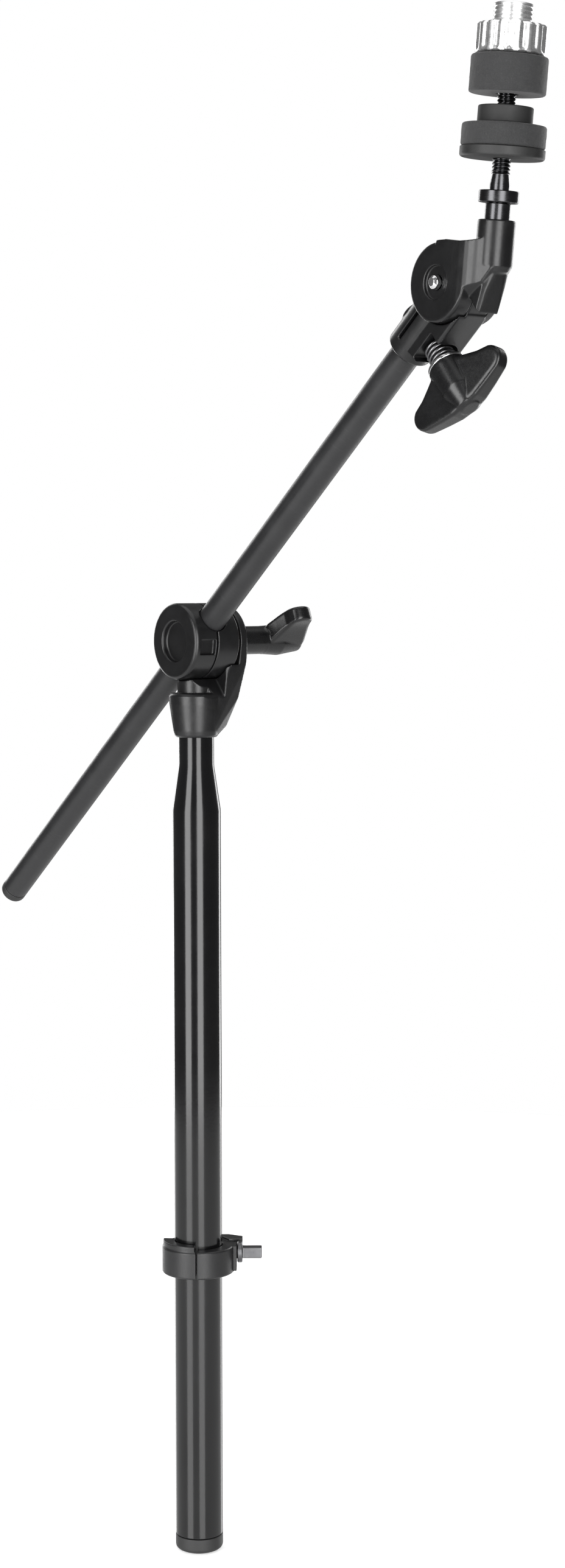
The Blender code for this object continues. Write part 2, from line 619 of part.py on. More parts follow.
def web_blank():
    """Plate from the cheek to the socket, with a bevel along its lower edge."""
    edge = [(-1.5, 16.4), (11.5, 17.0), (20.4, 18.1), (20.4, 3.2), (12.5, -3.0), (0, -9.0)]
    bevel = [(22.4, 0.8), (14.3, -5.2)]
    end = [(26.0, 17.2), (26.2, 7.0)]
    points = [(x * MM, CHEEK_FRONT, z * MM) for x, z in edge]
    points += [(x * MM, -BODY_FRONT, z * MM) for x, z in bevel]
    points += [(x * MM, -4.6 * MM, z * MM) for x, z in end]
    points += [(x * MM, CHEEK_BACK, z * MM) for x, z in edge + bevel + end]
    return hull(points)


def face_lean():
    """What is cut from the front of the cheek and the plate so that the face runs into the socket's side."""
    line = [(-3, -12.4), (7, -11.55), (13.5, -10.2), (20.4, -7.45), (34, -2.2), (34, -26), (-3, -26)]
    wedge = prism([(x * MM, y * MM) for x, y in line], -30 * MM, 30 * MM)
    return placed(wedge, TO_Y)


def elbow_blank():
    """Bend from the foot of the socket round under the plate."""
    points = circle(6.6 * MM, (ROD_OFFSET, 0, 8 * MM), (0, 0, 1), 24)
    corners = [(14, -2), (14.6, -5.0), (20.2, -11.0), (22.7, -2.6)]
    points += [(x * MM, y, z * MM) for x, z in corners for y in (-5.2 * MM, 4.6 * MM)]
    points += [(x * MM, -BODY_FRONT, z * MM) for x, z in ((13.5, -2.5), (14.8, -4.4), (19.5, -9.6), (21.6, -2.2), (19.6, 4))]
    return hull(points)


def tilter_cover(parent):
    outline = [(2.5 * MM + GAP, COVER_BACK), (HUB_R - 1 * MM, COVER_BACK), (HUB_R, COVER_BACK - 1 * MM),
               (HUB_R, COVER_FRONT), (2.5 * MM + GAP, COVER_FRONT)]
    return piece("tilter_cover", revolve(outline, 44, TO_Y), CAST_BLACK, parent)


def pivot_rivet(parent):
    dome = [(0, -13.8), (1.6, -13.6), (2.7, -12.7), (3.1, -11.0), (2.5, -11.0), (2.5, 11.7), (4.0, 11.7), (3.8, 12.6),
            (2.6, 13.2), (0, 13.2)]
    outline = [(r * MM, y * MM) for r, y in reversed(dome)]
    return piece("pivot_rivet", revolve(outline, 28, TO_Y), CHROME, parent)


# ---------------------------------------------------------------- cymbal rod and seat, local Z along the rod


def cymbal_rod(parent):
    upright = Matrix.Translation((ROD_OFFSET, 0, 0))
    shoulder = COLLAR_LOW - GAP
    outline = [(0, ROD_TIP), (THREAD_ROOT, ROD_TIP)]
    outline += thread_outline(BELL_REST_HIGH - 2 * MM, UPPER_FELT_LOW + 2 * MM)
    outline += thread_outline(42.5 * MM, SEAT_LOW + 1 * MM)
    outline += [(3.25 * MM, 42.4 * MM), (3.9 * MM, 38.4 * MM), (3.9 * MM, shoulder), (ROD_R, shoulder),
                (ROD_R, 9.1 * MM), (ROD_R - 0.6 * MM, 8.4 * MM), (0, 8.4 * MM)]
    return piece("cymbal_rod", revolve(outline, 20, upright), DARK_CHROME, parent)


def rod_collar(parent):
    upright = Matrix.Translation((ROD_OFFSET, 0, 0))
    shape = ring(3.9 * MM + GAP, 7.9 * MM, COLLAR_LOW, COLLAR_HIGH, upright, 32, 0.4 * MM)
    return piece("rod_collar", shape, DARK_CHROME, parent)


def seat_cup(parent):
    """Threaded plastic seat: a dished foot and a sleeve that the felt slips over."""
    bore = THREAD_CREST + GAP
    outline = [(bore, LOWER_FELT_HIGH - 1 * MM), (6.0 * MM, LOWER_FELT_HIGH - 1 * MM), (6.0 * MM, SEAT_LOW + SEAT_CUP),
               (SEAT_R, SEAT_LOW + SEAT_CUP), (SEAT_R, SEAT_LOW + 1 * MM), (SEAT_R - 0.7 * MM, SEAT_LOW),
               (bore, SEAT_LOW)]
    return piece("seat_cup", revolve(outline, 40, Matrix.Translation((ROD_OFFSET, 0, 0))), BLACK_PLASTIC, parent)


def lower_felt(parent):
    upright = Matrix.Translation((ROD_OFFSET, 0, 0))
    low = SEAT_LOW + SEAT_CUP + GAP
    shape = ring(6.0 * MM + GAP, SEAT_R - 0.1 * MM, low, LOWER_FELT_HIGH, upright, 40, 0.5 * MM)
    return piece("lower_felt", shape, FELT, parent)


def bell_rest(parent):
    upright = Matrix.Translation((ROD_OFFSET, 0, 0))
    shape = ring(THREAD_CREST + GAP, BELL_REST_R, LOWER_FELT_HIGH + GAP, BELL_REST_HIGH, upright, 32, 0.4 * MM)
    return piece("bell_rest", shape, RUBBER, parent)


def upper_felt(parent):
    upright = Matrix.Translation((ROD_OFFSET, 0, 0))
    shape = ring(THREAD_CREST + GAP, UPPER_FELT_R, UPPER_FELT_LOW, UPPER_FELT_HIGH, upright, 40, 0.5 * MM)
    return piece("upper_felt", shape, FELT, parent)


def seat_nut(parent):
    """Hat-shaped thumb nut with a fluted skirt and a ribbed boss."""
    upright = Matrix.Translation((ROD_OFFSET, 0, 0))
    bore = THREAD_CREST + GAP
    rib = 1.6 * MM
    outline = [(bore, NUT_HIGH), (NUT_BOSS_R - 0.8 * MM, NUT_HIGH)]
    height = NUT_HIGH - 0.6 * MM
    while height - rib > NUT_STEP + 0.4 * MM:
        outline += [(NUT_BOSS_R, height), (NUT_BOSS_R, height - rib / 2), (NUT_BOSS_R - 0.5 * MM, height - 0.75 * rib)]
        height -= rib
    outline += [(NUT_BOSS_R - 0.5 * MM, NUT_STEP), (NUT_R - 1 * MM, NUT_STEP), (NUT_R, NUT_STEP - 1 * MM),
                (NUT_R, NUT_LOW + 0.6 * MM), (NUT_R - 0.6 * MM, NUT_LOW), (bore, NUT_LOW)]
    nut = piece("seat_nut", revolve(outline, 32, upright), CHROME, parent)
    flutes = bmesh.new()
    for step in range(16):
        spoke = upright @ Matrix.Rotation(math.tau * step / 16, 4, "Z") @ Matrix.Translation((NUT_R + 0.5 * MM, 0, 0))
        groove = cylinder(1.1 * MM, NUT_LOW + 1.6 * MM, NUT_STEP + 1 * MM, spoke, 6)
        mesh = bpy.data.meshes.new("flute")
        groove.to_mesh(mesh)
        groove.free()
        flutes.from_mesh(mesh)
        bpy.data.meshes.remove(mesh)
    cut(nut, flutes, "flutes")
    return nut


# ---------------------------------------------------------------- assembly


def build_post():
    post_tube()
    post_plug()
    yoke()
    yoke_pin()


def build_stop_lock():
    lock = pivot("stop_lock_axis", (0, 0, KEY_BOLT_Z), LOCK_TURN, "Z")
    stop_lock_ring(lock)
    key_bolt(lock)


def build_clamp():
    clamp = pivot("boom_clamp_axis", (0, 0, CLAMP_Z), -BOOM_TILT)
    drum_cap(clamp)
    drum_inner(clamp)
    cap_screw("cap_screw_upper", 1, clamp)
    cap_screw("cap_screw_lower", -1, clamp)
    eye_bolt(clamp)
    clamp_stack(clamp)
    clamp_wing_nut(clamp)
    boom_rod(clamp)
    boom_end_cap(clamp)


def build_tilter():
    reach = Vector((math.cos(BOOM_TILT), 0, math.sin(BOOM_TILT))) * BOOM_REACH
    centre = Vector((0, 0, CLAMP_Z)) + reach
    base = pivot("tilter_base_axis", centre, -BOOM_TILT)
    tilter_base(base)
    tilter_bolt(base)
    jaw_stack(base)
    tilter_wing_nut(base)
    arm = pivot("tilter_arm_axis", centre, ROD_LEAN)
    tilter_arm(arm)
    tilter_cover(arm)
    pivot_rivet(arm)
    cymbal_rod(arm)
    rod_collar(arm)
    seat_cup(arm)
    lower_felt(arm)
    bell_rest(arm)
    upper_felt(arm)
    seat_nut(arm)


clear_scene()
PARTS = new_collection("boom_arm")
CUTTERS = new_collection("cutters")
GLOSS_BLACK = make_material("gloss_black", (0.012, 0.012, 0.013), 0.18, 0.0)
CAST_BLACK = make_material("cast_black", (0.02, 0.02, 0.022), 0.38, 0.0)
GLOSS_CAST = make_material("gloss_cast", (0.018, 0.018, 0.02), 0.28, 0.0)
SATIN_BLACK = make_material("satin_black", (0.035, 0.035, 0.037), 0.5, 0.0)
BLACK_PLASTIC = make_material("black_plastic", (0.022, 0.022, 0.022), 0.55, 0.0)
DARK_CHROME = make_material("dark_chrome", (0.09, 0.09, 0.095), 0.2, 1.0)
CHROME = make_material("chrome", (0.8, 0.8, 0.81), 0.12, 1.0)
ZINC = make_material("zinc", (0.45, 0.45, 0.44), 0.35, 1.0)
STEEL = make_material("spring_steel", (0.4, 0.4, 0.41), 0.3, 1.0)
FIBRE = make_material("fibre", (0.05, 0.04, 0.035), 0.8, 0.0)
FELT = make_material("felt", (0.03, 0.03, 0.03), 0.95, 0.0)
RUBBER = make_material("rubber", (0.025, 0.025, 0.025), 0.7, 0.0)
build_post()
build_stop_lock()
build_clamp()
build_tilter()
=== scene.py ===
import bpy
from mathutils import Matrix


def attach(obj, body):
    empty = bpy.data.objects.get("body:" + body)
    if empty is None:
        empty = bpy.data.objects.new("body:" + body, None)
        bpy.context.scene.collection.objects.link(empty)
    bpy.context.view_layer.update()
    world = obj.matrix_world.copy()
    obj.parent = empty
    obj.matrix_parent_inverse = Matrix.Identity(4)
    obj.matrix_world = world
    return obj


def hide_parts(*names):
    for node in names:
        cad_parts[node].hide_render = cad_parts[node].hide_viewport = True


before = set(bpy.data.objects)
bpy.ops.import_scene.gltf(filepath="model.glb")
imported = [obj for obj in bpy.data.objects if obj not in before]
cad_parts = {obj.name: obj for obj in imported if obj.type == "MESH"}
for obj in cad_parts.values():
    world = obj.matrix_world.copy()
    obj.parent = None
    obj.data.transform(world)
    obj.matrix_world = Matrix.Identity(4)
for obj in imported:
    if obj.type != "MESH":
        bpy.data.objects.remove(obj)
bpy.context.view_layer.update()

import math

import bmesh
import bpy
from mathutils import Matrix, Vector, noise

MM = 0.001
GAP = 0.3 * MM
TURN = 120
ON_AXIS = 1e-7
SHARP_EDGE, ALL_SMOOTH = 38, 180

# The part's own sizes, in metres
POST_R, POST_WALL, NECK_R = 11.1 * MM, 1.5 * MM, 8.05 * MM
SHOULDER_LOW, SHOULDER_HIGH, NECK_TOP = 348 * MM, 369 * MM, 398 * MM
PLUG_HEAD, PLUG_DEPTH = 7 * MM, 18 * MM
LOCK_LOW, LOCK_HIGH, LOCK_R, LOCK_TAB, LOCK_SPLIT = 132.2 * MM, 145 * MM, 16.8 * MM, 2.5 * MM, 0.8 * MM
LOCK_TURN, KEY_BOLT_Z = math.radians(52.5), 141.2 * MM
CLAMP_Z, BOOM_TILT = 425.7 * MM, math.radians(39)
DRUM_R, DRUM_FRONT, DRUM_BACK = 17.4 * MM, 12.4 * MM, 12.2 * MM
EAR_FACE, EAR_BACK, EAR_R = 18.2 * MM, 13.8 * MM, 16.0 * MM
YOKE_LOW, YOKE_HIGH, YOKE_R = 381.8 * MM, 402 * MM, 9.9 * MM
PIN_Z, PIN_TURN = 390 * MM, math.radians(-37.5)
EYE_R, EYE_WIDTH, CLAMP_BOLT_R = 8.2 * MM, 8.0 * MM, 3.9 * MM
CLAMP_WASHER_TOP, CLAMP_NUT_Y = 20.0 * MM, 36.9 * MM
CLAMP_NUT_TURN, CLAMP_NUT_NECK_R = math.radians(21), 6.5 * MM
BOOM_R, BOOM_WALL, BOOM_TAIL, BOOM_REACH, BOOM_CAP = 6.35 * MM, 1.6 * MM, 209.3 * MM, 230.4 * MM, 5 * MM
HUB_R, HUB_FRONT, HUB_BACK = 15.8 * MM, -3.3 * MM, 6.9 * MM
SOCKET_R, SOCKET_FROM, BOOM_SEAT = 9.6 * MM, -38.0 * MM, -29.9 * MM
JAW_BOLT_X, JAW_BOLT_R = -24.5 * MM, 2.9 * MM
LUG_R, LUG_LOW, SPRING_SEAT, LUG_HIGH, JAW_SLIT = 6.9 * MM, -16.4 * MM, -10.2 * MM, 8.6 * MM, 1.6 * MM
JAW_NUT_Z, JAW_NUT_TURN = -21.9 * MM, math.radians(15)
CHEEK_R, CHEEK_FRONT, CHEEK_BACK, BODY_FRONT = 15.8 * MM, -11.6 * MM, -3.6 * MM, 6.4 * MM
COVER_FRONT, COVER_BACK, BOSS_R = 7.2 * MM, 11.4 * MM, 10.0 * MM
ROD_LEAN, ROD_OFFSET = math.radians(6.5), 20.6 * MM
ROD_SOCKET_R, ROD_SOCKET_LOW, ROD_SOCKET_HIGH, ROD_R = 7.45 * MM, 4.0 * MM, 25.1 * MM, 4.97 * MM
COLLAR_LOW, COLLAR_HIGH = 31.6 * MM, 36.2 * MM
THREAD_CREST, THREAD_ROOT, THREAD_PITCH = 3.65 * MM, 3.05 * MM, 1.4 * MM
SEAT_LOW, SEAT_R, SEAT_CUP = 48.3 * MM, 16.7 * MM, 4.0 * MM
LOWER_FELT_HIGH, BELL_REST_HIGH, BELL_REST_R = 61.2 * MM, 68.1 * MM, 10.8 * MM
UPPER_FELT_LOW, UPPER_FELT_HIGH, UPPER_FELT_R = 72.7 * MM, 87.0 * MM, 15.0 * MM
NUT_LOW, NUT_STEP, NUT_HIGH, NUT_R, NUT_BOSS_R = 87.3 * MM, 98.9 * MM, 106.6 * MM, 13.8 * MM, 7.8 * MM
ROD_TIP, THREAD_START, THREAD_FADE = 105.6 * MM, 42.6 * MM, 0.8 * MM
SEAT_HUB_R = 6.0 * MM

TO_Y = Matrix.Rotation(math.radians(-90), 4, "X")
TO_X = Matrix.Rotation(math.radians(90), 4, "Y")
DOWN = Matrix.Rotation(math.radians(180), 4, "X")
STILL = Matrix.Identity(4)
REACH = Vector((math.cos(BOOM_TILT), 0, math.sin(BOOM_TILT))) * BOOM_REACH
AT_LOCK = Matrix.Translation((0, 0, KEY_BOLT_Z)) @ Matrix.Rotation(LOCK_TURN, 4, "Z")
AT_CLAMP = Matrix.Translation((0, 0, CLAMP_Z)) @ Matrix.Rotation(-BOOM_TILT, 4, "Y")
AT_BASE = Matrix.Translation(Vector((0, 0, CLAMP_Z)) + REACH) @ Matrix.Rotation(-BOOM_TILT, 4, "Y")
AT_ARM = Matrix.Translation(Vector((0, 0, CLAMP_Z)) + REACH) @ Matrix.Rotation(ROD_LEAN, 4, "Y")
UPRIGHT = Matrix.Translation((ROD_OFFSET, 0, 0))
ACROSS = Matrix.Translation((JAW_BOLT_X, 0, 0))


# ---------------------------------------------------------------- materials


class Finish:
    """A material under construction: Principled, with its texture read in the piece's own coordinates."""

    def __init__(self, name, roughness, metallic=0.0, on_cad=False):
        self.material = bpy.data.materials.new(name)
        self.material.use_nodes = True
        self.tree = self.material.node_tree
        self.shader = self.tree.nodes["Principled BSDF"]
        self.shader.inputs["Roughness"].default_value = roughness
        self.shader.inputs["Metallic"].default_value = metallic
        if on_cad:
            self.where = self.tree.nodes.new("ShaderNodeTexCoord").outputs["Object"]
        else:
            place = self.tree.nodes.new("ShaderNodeAttribute")
            place.attribute_name = "place"
            self.where = place.outputs["Vector"]

    def node(self, kind, inputs=None, **settings):
        made = self.tree.nodes.new(kind)
        for key, value in settings.items():
            setattr(made, key, value)
        for key, value in (inputs or {}).items():
            if isinstance(value, bpy.types.NodeSocket):
                self.tree.links.new(value, made.inputs[key])
            else:
                made.inputs[key].default_value = value
        return made

    def noise(self, size, detail=4.0, roughness=0.55, stretch=(1, 1, 1), seed=0.0):
        """Soft noise whose features are about size metres across, from 0 to 1."""
        moved = self.node("ShaderNodeMapping", {"Vector": self.where, "Scale": stretch,
                                                "Location": (seed, 0.7 * seed, 0.3 * seed)})
        made = self.node("ShaderNodeTexNoise", {"Vector": moved.outputs[0], "Scale": 1 / size,
                                                "Detail": detail, "Roughness": roughness})
        return made.outputs["Fac"]

    def range(self, value, low, high, start, end):
        return self.node("ShaderNodeMapRange", {"Value": value, "From Min": low, "From Max": high,
                                                "To Min": start, "To Max": end}).outputs[0]

    def mix(self, share, first, second):
        made = self.node("ShaderNodeMix", {0: share}, data_type="RGBA")
        for socket, value in ((made.inputs[6], first), (made.inputs[7], second)):
            if isinstance(value, bpy.types.NodeSocket):
                self.tree.links.new(value, socket)
            else:
                socket.default_value = (*value, 1)
        return made.outputs[2]

    def math(self, operation, first, second):
        return self.node("ShaderNodeMath", {0: first, 1: second}, operation=operation).outputs[0]

    def edges(self, low=0.5, high=0.62):
        """1 on sharp outward edges, where a coating thins."""
        point = self.node("ShaderNodeNewGeometry").outputs["Pointiness"]
        return self.range(point, low, high, 0, 1)

    def colour(self, value):
        self.tree.links.new(value, self.shader.inputs["Base Color"])

    def rough(self, value):
        self.tree.links.new(value, self.shader.inputs["Roughness"])

    def bump(self, height, strength, depth):
        bump = self.node("ShaderNodeBump", {"Height": height, "Strength": strength, "Distance": depth})
        self.tree.links.new(bump.outputs["Normal"], self.shader.inputs["Normal"])


def gloss_black():
    """Enamelled tube: faint orange peel, wiping haze and a few fine scratches round it."""
    made = Finish("gloss_black", 0.2)
    peel = made.noise(2.2 * MM, 2.0)
    haze = made.noise(26 * MM, 3.0, seed=3.1)
    lines = made.noise(7 * MM, 5.0, 0.7, (1, 1, 22), 5.3)
    scratch = made.range(lines, 0.66, 0.74, 0, 1)
    made.colour(made.mix(haze, (0.002, 0.002, 0.0022), (0.0045, 0.0045, 0.0048)))
    made.rough(made.math("ADD", made.range(haze, 0.3, 0.7, 0.12, 0.18), made.math("MULTIPLY", scratch, 0.10)))
    made.bump(peel, 0.12, 0.08 * MM)
    return made.material


def coated(name, dark, light, low, high, grain, depth, strength, on_cad=False):
    """Powder-coated casting: fine grain, soft unevenness and thinner coating on its edges."""
    made = Finish(name, 0.4, 0.0, on_cad)
    broad = made.noise(7 * MM, 3.0, seed=1.7)
    fine = made.noise(grain, 3.0, 0.6, seed=8.3)
    skin = made.mix(broad, dark, light)
    worn = made.math("MULTIPLY", made.edges(0.52, 0.6), made.range(fine, 0.35, 0.7, 0.05, 0.3))
    made.colour(made.mix(worn, skin, tuple(4 * value for value in light)))
    made.rough(made.range(made.math("ADD", broad, fine), 0.7, 1.3, low, high))
    made.bump(made.math("ADD", fine, made.math("MULTIPLY", broad, 1.5)), strength, depth)
    return made.material


def satin_rod():
    """Satin black plating on a drawn rod, with its drawing lines along it and clamp marks round it."""
    made = Finish("satin_rod", 0.4)
    drawn = made.noise(1.6 * MM, 5.0, 0.65, (1, 1, 0.03), 2.2)
    haze = made.noise(18 * MM, 3.0, seed=6.1)
    rubbed = made.range(made.noise(4 * MM, 4.0, 0.7, (0.5, 0.5, 9), 4.4), 0.6, 0.72, 0, 0.5)
    skin = made.mix(haze, (0.0075, 0.0075, 0.008), (0.015, 0.015, 0.016))
    made.colour(made.mix(rubbed, skin, (0.034, 0.034, 0.035)))
    made.rough(made.range(made.math("ADD", drawn, haze), 0.7, 1.3, 0.34, 0.5))
    made.bump(drawn, 0.12, 0.03 * MM)
    return made.material


def moulded(name, dark, light, low, high, grain, on_cad=False):
    """Moulded plastic or rubber: spark-eroded grain and slight shine where it is handled."""
    made = Finish(name, 0.55, 0.0, on_cad)
    broad = made.noise(5 * MM, 3.0, seed=2.9)
    fine = made.noise(grain, 2.0, 0.6, seed=7.7)
    pits = made.node("ShaderNodeTexVoronoi", {"Vector": made.where, "Scale": 1.4 / grain}).outputs["Distance"]
    made.colour(made.mix(broad, dark, light))
    made.rough(made.range(broad, 0.3, 0.7, low, high))
    made.bump(made.math("ADD", fine, pits), 0.3, 0.06 * MM)
    return made.material


def metal(name, dark, light, low, high, line=(1, 1, 26), on_cad=False, spangle=4 * MM):
    """Bare or plated metal with turning lines round its axis, soft tarnish and small nicks."""
    made = Finish(name, low, 1.0, on_cad)
    turned_lines = made.noise(2.4 * MM, 4.0, 0.6, line, 1.3)
    cloud = made.noise(spangle, 4.0, 0.6, seed=9.1)
    nicks = made.range(made.noise(0.9 * MM, 3.0, 0.6, seed=5.9), 0.68, 0.76, 0, 1)
    skin = made.mix(cloud, dark, light)
    made.colour(made.mix(made.math("MULTIPLY", nicks, 0.35), skin, tuple(0.45 * value for value in dark)))
    made.rough(made.range(made.math("ADD", turned_lines, cloud), 0.7, 1.3, low, high))
    made.bump(turned_lines, 0.22, 0.03 * MM)
    return made.material


def felted():
    """Pressed wool: matted fibres in two directions, pilling and a soft sheen."""
    made = Finish("felt_black", 0.85)
    made.shader.inputs["Sheen Weight"].default_value = 0.15
    made.shader.inputs["Sheen Roughness"].default_value = 0.45
    broad = made.noise(4 * MM, 3.0, seed=1.1)
    strands = made.noise(0.9 * MM, 6.0, 0.75, (1, 1, 4.5), 3.9)
    crossed = made.noise(0.8 * MM, 6.0, 0.75, (3.5, 2.0, 1), 6.6)
    fuzz = made.math("MAXIMUM", strands, crossed)
    skin = made.mix(broad, (0.010, 0.010, 0.0105), (0.020, 0.020, 0.021))
    made.colour(made.mix(made.range(fuzz, 0.5, 0.78, 0, 1), skin, (0.055, 0.055, 0.055)))
    made.rough(made.range(fuzz, 0.4, 0.7, 0.7, 0.95))
    made.bump(made.math("ADD", fuzz, made.math("MULTIPLY", broad, 0.8)), 0.7, 0.3 * MM)
    return made.material


def fibre():
    """Pressed friction disc: short brown-black fibres in a resin."""
    made = Finish("friction_fibre", 0.75)
    strands = made.noise(1.1 * MM, 6.0, 0.8, (4, 1, 1), 2.1)
    crossed = made.noise(1.0 * MM, 6.0, 0.8, (1, 4, 1), 7.1)
    made.colour(made.mix(made.range(made.math("MAXIMUM", strands, crossed), 0.45, 0.75, 0, 1),
                         (0.018, 0.015, 0.013), (0.075, 0.06, 0.048)))
    made.rough(made.range(strands, 0.3, 0.7, 0.65, 0.85))
    made.bump(strands, 0.4, 0.1 * MM)
    return made.material


# ---------------------------------------------------------------- shapes


def rounded(points, fillet, closed, segments=5):
    """An outline of (x, y) or (x, y, radius) points with each corner rounded."""
    out = []
    for index, point in enumerate(points):
        here = Vector(point[:2])
        radius = point[2] if len(point) > 2 else fillet
        if radius <= 0 or (not closed and index in (0, len(points) - 1)):
            out.append(tuple(here))
            continue
        before = Vector(points[index - 1][:2]) - here
        after = Vector(points[(index + 1) % len(points)][:2]) - here
        corner = before.angle(after)
        if corner > math.radians(176):
            out.append(tuple(here))
            continue
        reach = min(radius / math.tan(corner / 2), 0.47 * before.length, 0.47 * after.length)
        radius = reach * math.tan(corner / 2)
        inward = (before.normalized() + after.normalized()).normalized()
        centre = here + inward * (radius / math.sin(corner / 2))
        start = here + before.normalized() * reach - centre
        sweep = start.angle_signed(here + after.normalized() * reach - centre)
        for step in range(segments + 1):
            out.append(tuple(centre + Matrix.Rotation(-sweep * step / segments, 2) @ start))
    return out


def lathe(outline, steps=TURN, place=None):
    """Turns (radius, height) points about Z. A closed ring if no point is on the axis."""
    shape = bmesh.new()
    ring_shape = min(point[0] for point in outline) > ON_AXIS
    rings = []
    for radius, height in outline:
        if radius < ON_AXIS:
            rings.append([shape.verts.new((0, 0, height))] * steps)
            continue
        turns = [math.tau * step / steps for step in range(steps)]
        spots = [(radius * math.cos(turn), radius * math.sin(turn), height) for turn in turns]
        rings.append([shape.verts.new(spot) for spot in spots])
    pairs = list(zip(rings, rings[1:]))
    if ring_shape:
        pairs.append((rings[-1], rings[0]))
    for first, second in pairs:
        for s in range(steps):
            corners = [first[s], first[(s + 1) % steps], second[(s + 1) % steps], second[s]]
            corners = list(dict.fromkeys(corners))
            if len(corners) > 2:
                shape.faces.new(corners)
    bmesh.ops.recalc_face_normals(shape, faces=shape.faces)
    if place:
        shape.transform(place)
    return shape


def rod(radius, low, high, place=None, steps=TURN, chamfer=0.0):
    if chamfer:
        outline = [(0, high), (radius - chamfer, high), (radius, high - chamfer),
                   (radius, low + chamfer), (radius - chamfer, low), (0, low)]
    else:
        outline = [(0, high), (radius, high), (radius, low), (0, low)]
    return lathe(outline, steps, place)


def box(low, high, place=None):
    shape = bmesh.new()
    bmesh.ops.create_cube(shape, size=1)
    size = Vector(high) - Vector(low)
    shape.transform(Matrix.Translation((Vector(high) + Vector(low)) / 2) @ Matrix.Diagonal((*size, 1)))
    if place:
        shape.transform(place)
    return shape


def prism(outline, low, high, rounding=0.0, segments=4):
    """An (x, z) outline pushed along Y from low to high, with its long edges rounded."""
    shape = bmesh.new()
    base = shape.faces.new([shape.verts.new((x, low, z)) for x, z in outline])
    pushed = bmesh.ops.extrude_face_region(shape, geom=[base])["geom"]
    moved = [item for item in pushed if isinstance(item, bmesh.types.BMVert)]
    bmesh.ops.translate(shape, verts=moved, vec=(0, high - low, 0))
    bmesh.ops.recalc_face_normals(shape, faces=shape.faces)
    if rounding:
        rims = [edge for edge in shape.edges if abs(edge.verts[0].co.y - edge.verts[1].co.y) < 1e-9]
        bmesh.ops.bevel(shape, geom=rims, offset=rounding, segments=segments, profile=0.5, affect="EDGES")
    return shape


def hull(points):
    shape = bmesh.new()
    for point in points:
        shape.verts.new(point)
    made = bmesh.ops.convex_hull(shape, input=shape.verts)
    spare = [item for item in made["geom_interior"] + made["geom_unused"] if item.is_valid]
    bmesh.ops.delete(shape, geom=list(set(spare)), context="VERTS")
    bmesh.ops.recalc_face_normals(shape, faces=shape.faces)
    return shape


def circle(radius, centre, normal, steps=72):
    turn = Vector(normal).to_track_quat("Z", "X")
    angles = [math.tau * step / steps for step in range(steps)]
    return [Vector(centre) + turn @ Vector((radius * math.cos(a), radius * math.sin(a), 0)) for a in angles]


def arc(centre, radius, start, end, steps):
    angles = [math.radians(start + (end - start) * step / steps) for step in range(steps + 1)]
    return [(centre[0] + radius * math.cos(a), centre[1] + radius * math.sin(a)) for a in angles]


def in_mm(points):
    return [tuple(value * MM for value in point) for point in points]


def smooth_step(share):
    share = min(max(share, 0), 1)
    return share * share * (3 - 2 * share)


# ---------------------------------------------------------------- pieces


def shown(name, mesh, at, body, node, material, sharp=SHARP_EDGE):
    """The mesh, in its own frame, as a piece of the model: its own coordinates are kept for its material."""
    own = mesh.attributes.new("place", "FLOAT_VECTOR", "POINT")
    flat = [0.0] * (3 * len(mesh.vertices))
    mesh.vertices.foreach_get("co", flat)
    own.data.foreach_set("vector", flat)
    mesh.transform(at)
    mesh.materials.clear()
    mesh.materials.append(material)
    mesh.shade_smooth()
    mesh.set_sharp_from_angle(angle=math.radians(sharp))
    piece = bpy.data.objects.new(name, mesh)
    bpy.context.scene.collection.objects.link(piece)
    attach(piece, body)
    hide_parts(node)
    return piece


def to_mesh(name, shape):
    mesh = bpy.data.meshes.new(name)
    shape.to_mesh(mesh)
    shape.free()
    return mesh


def turned(name, outline, at, body, node, material, fillet=0.3 * MM, place=STILL, warp=None, steps=TURN):
    """A lathe-turned piece with every corner of its outline rounded."""
    ring_shape = min(point[0] for point in outline) > ON_AXIS
    shape = lathe(rounded(outline, fillet, ring_shape), steps)
    if warp:
        for vertex in shape.verts:
            vertex.co = warp(vertex.co)
    piece = shown(name, to_mesh(name, shape), at @ place, body, node, material)
    even = piece.modifiers.new("even_normals", "WEIGHTED_NORMAL")
    even.keep_sharp = True
    return piece


def cast(name, base, steps, at, body, node, material, voxel=0.32, passes=6):
    """A casting: solids joined and cut, then remeshed and relaxed so that its edges are softly rounded."""
    scene = bpy.context.scene
    block = bpy.data.objects.new(name + "_block", to_mesh(name, base))
    scene.collection.objects.link(block)
    helpers = []
    for index, (kind, shape) in enumerate(steps):
        helper = bpy.data.objects.new(f"{name}_step_{index}", to_mesh(f"{name}_step_{index}", shape))
        scene.collection.objects.link(helper)
        helpers.append(helper)
        step = block.modifiers.new(str(index), "BOOLEAN")
        step.operation = "UNION" if kind == "join" else "DIFFERENCE"
        step.solver = "MANIFOLD"
        step.object = helper
    even = block.modifiers.new("even", "REMESH")
    even.mode = "VOXEL"
    even.voxel_size = voxel * MM
    relax = block.modifiers.new("relax", "SMOOTH")
    relax.factor = 0.5
    relax.iterations = passes
    bpy.context.view_layer.update()
    mesh = bpy.data.meshes.new_from_object(block.evaluated_get(bpy.context.evaluated_depsgraph_get()))
    mesh.name = name
    for spare in [block, *helpers]:
        data = spare.data
        bpy.data.objects.remove(spare)
        bpy.data.meshes.remove(data)
    return shown(name, mesh, at, body, node, material, ALL_SMOOTH)


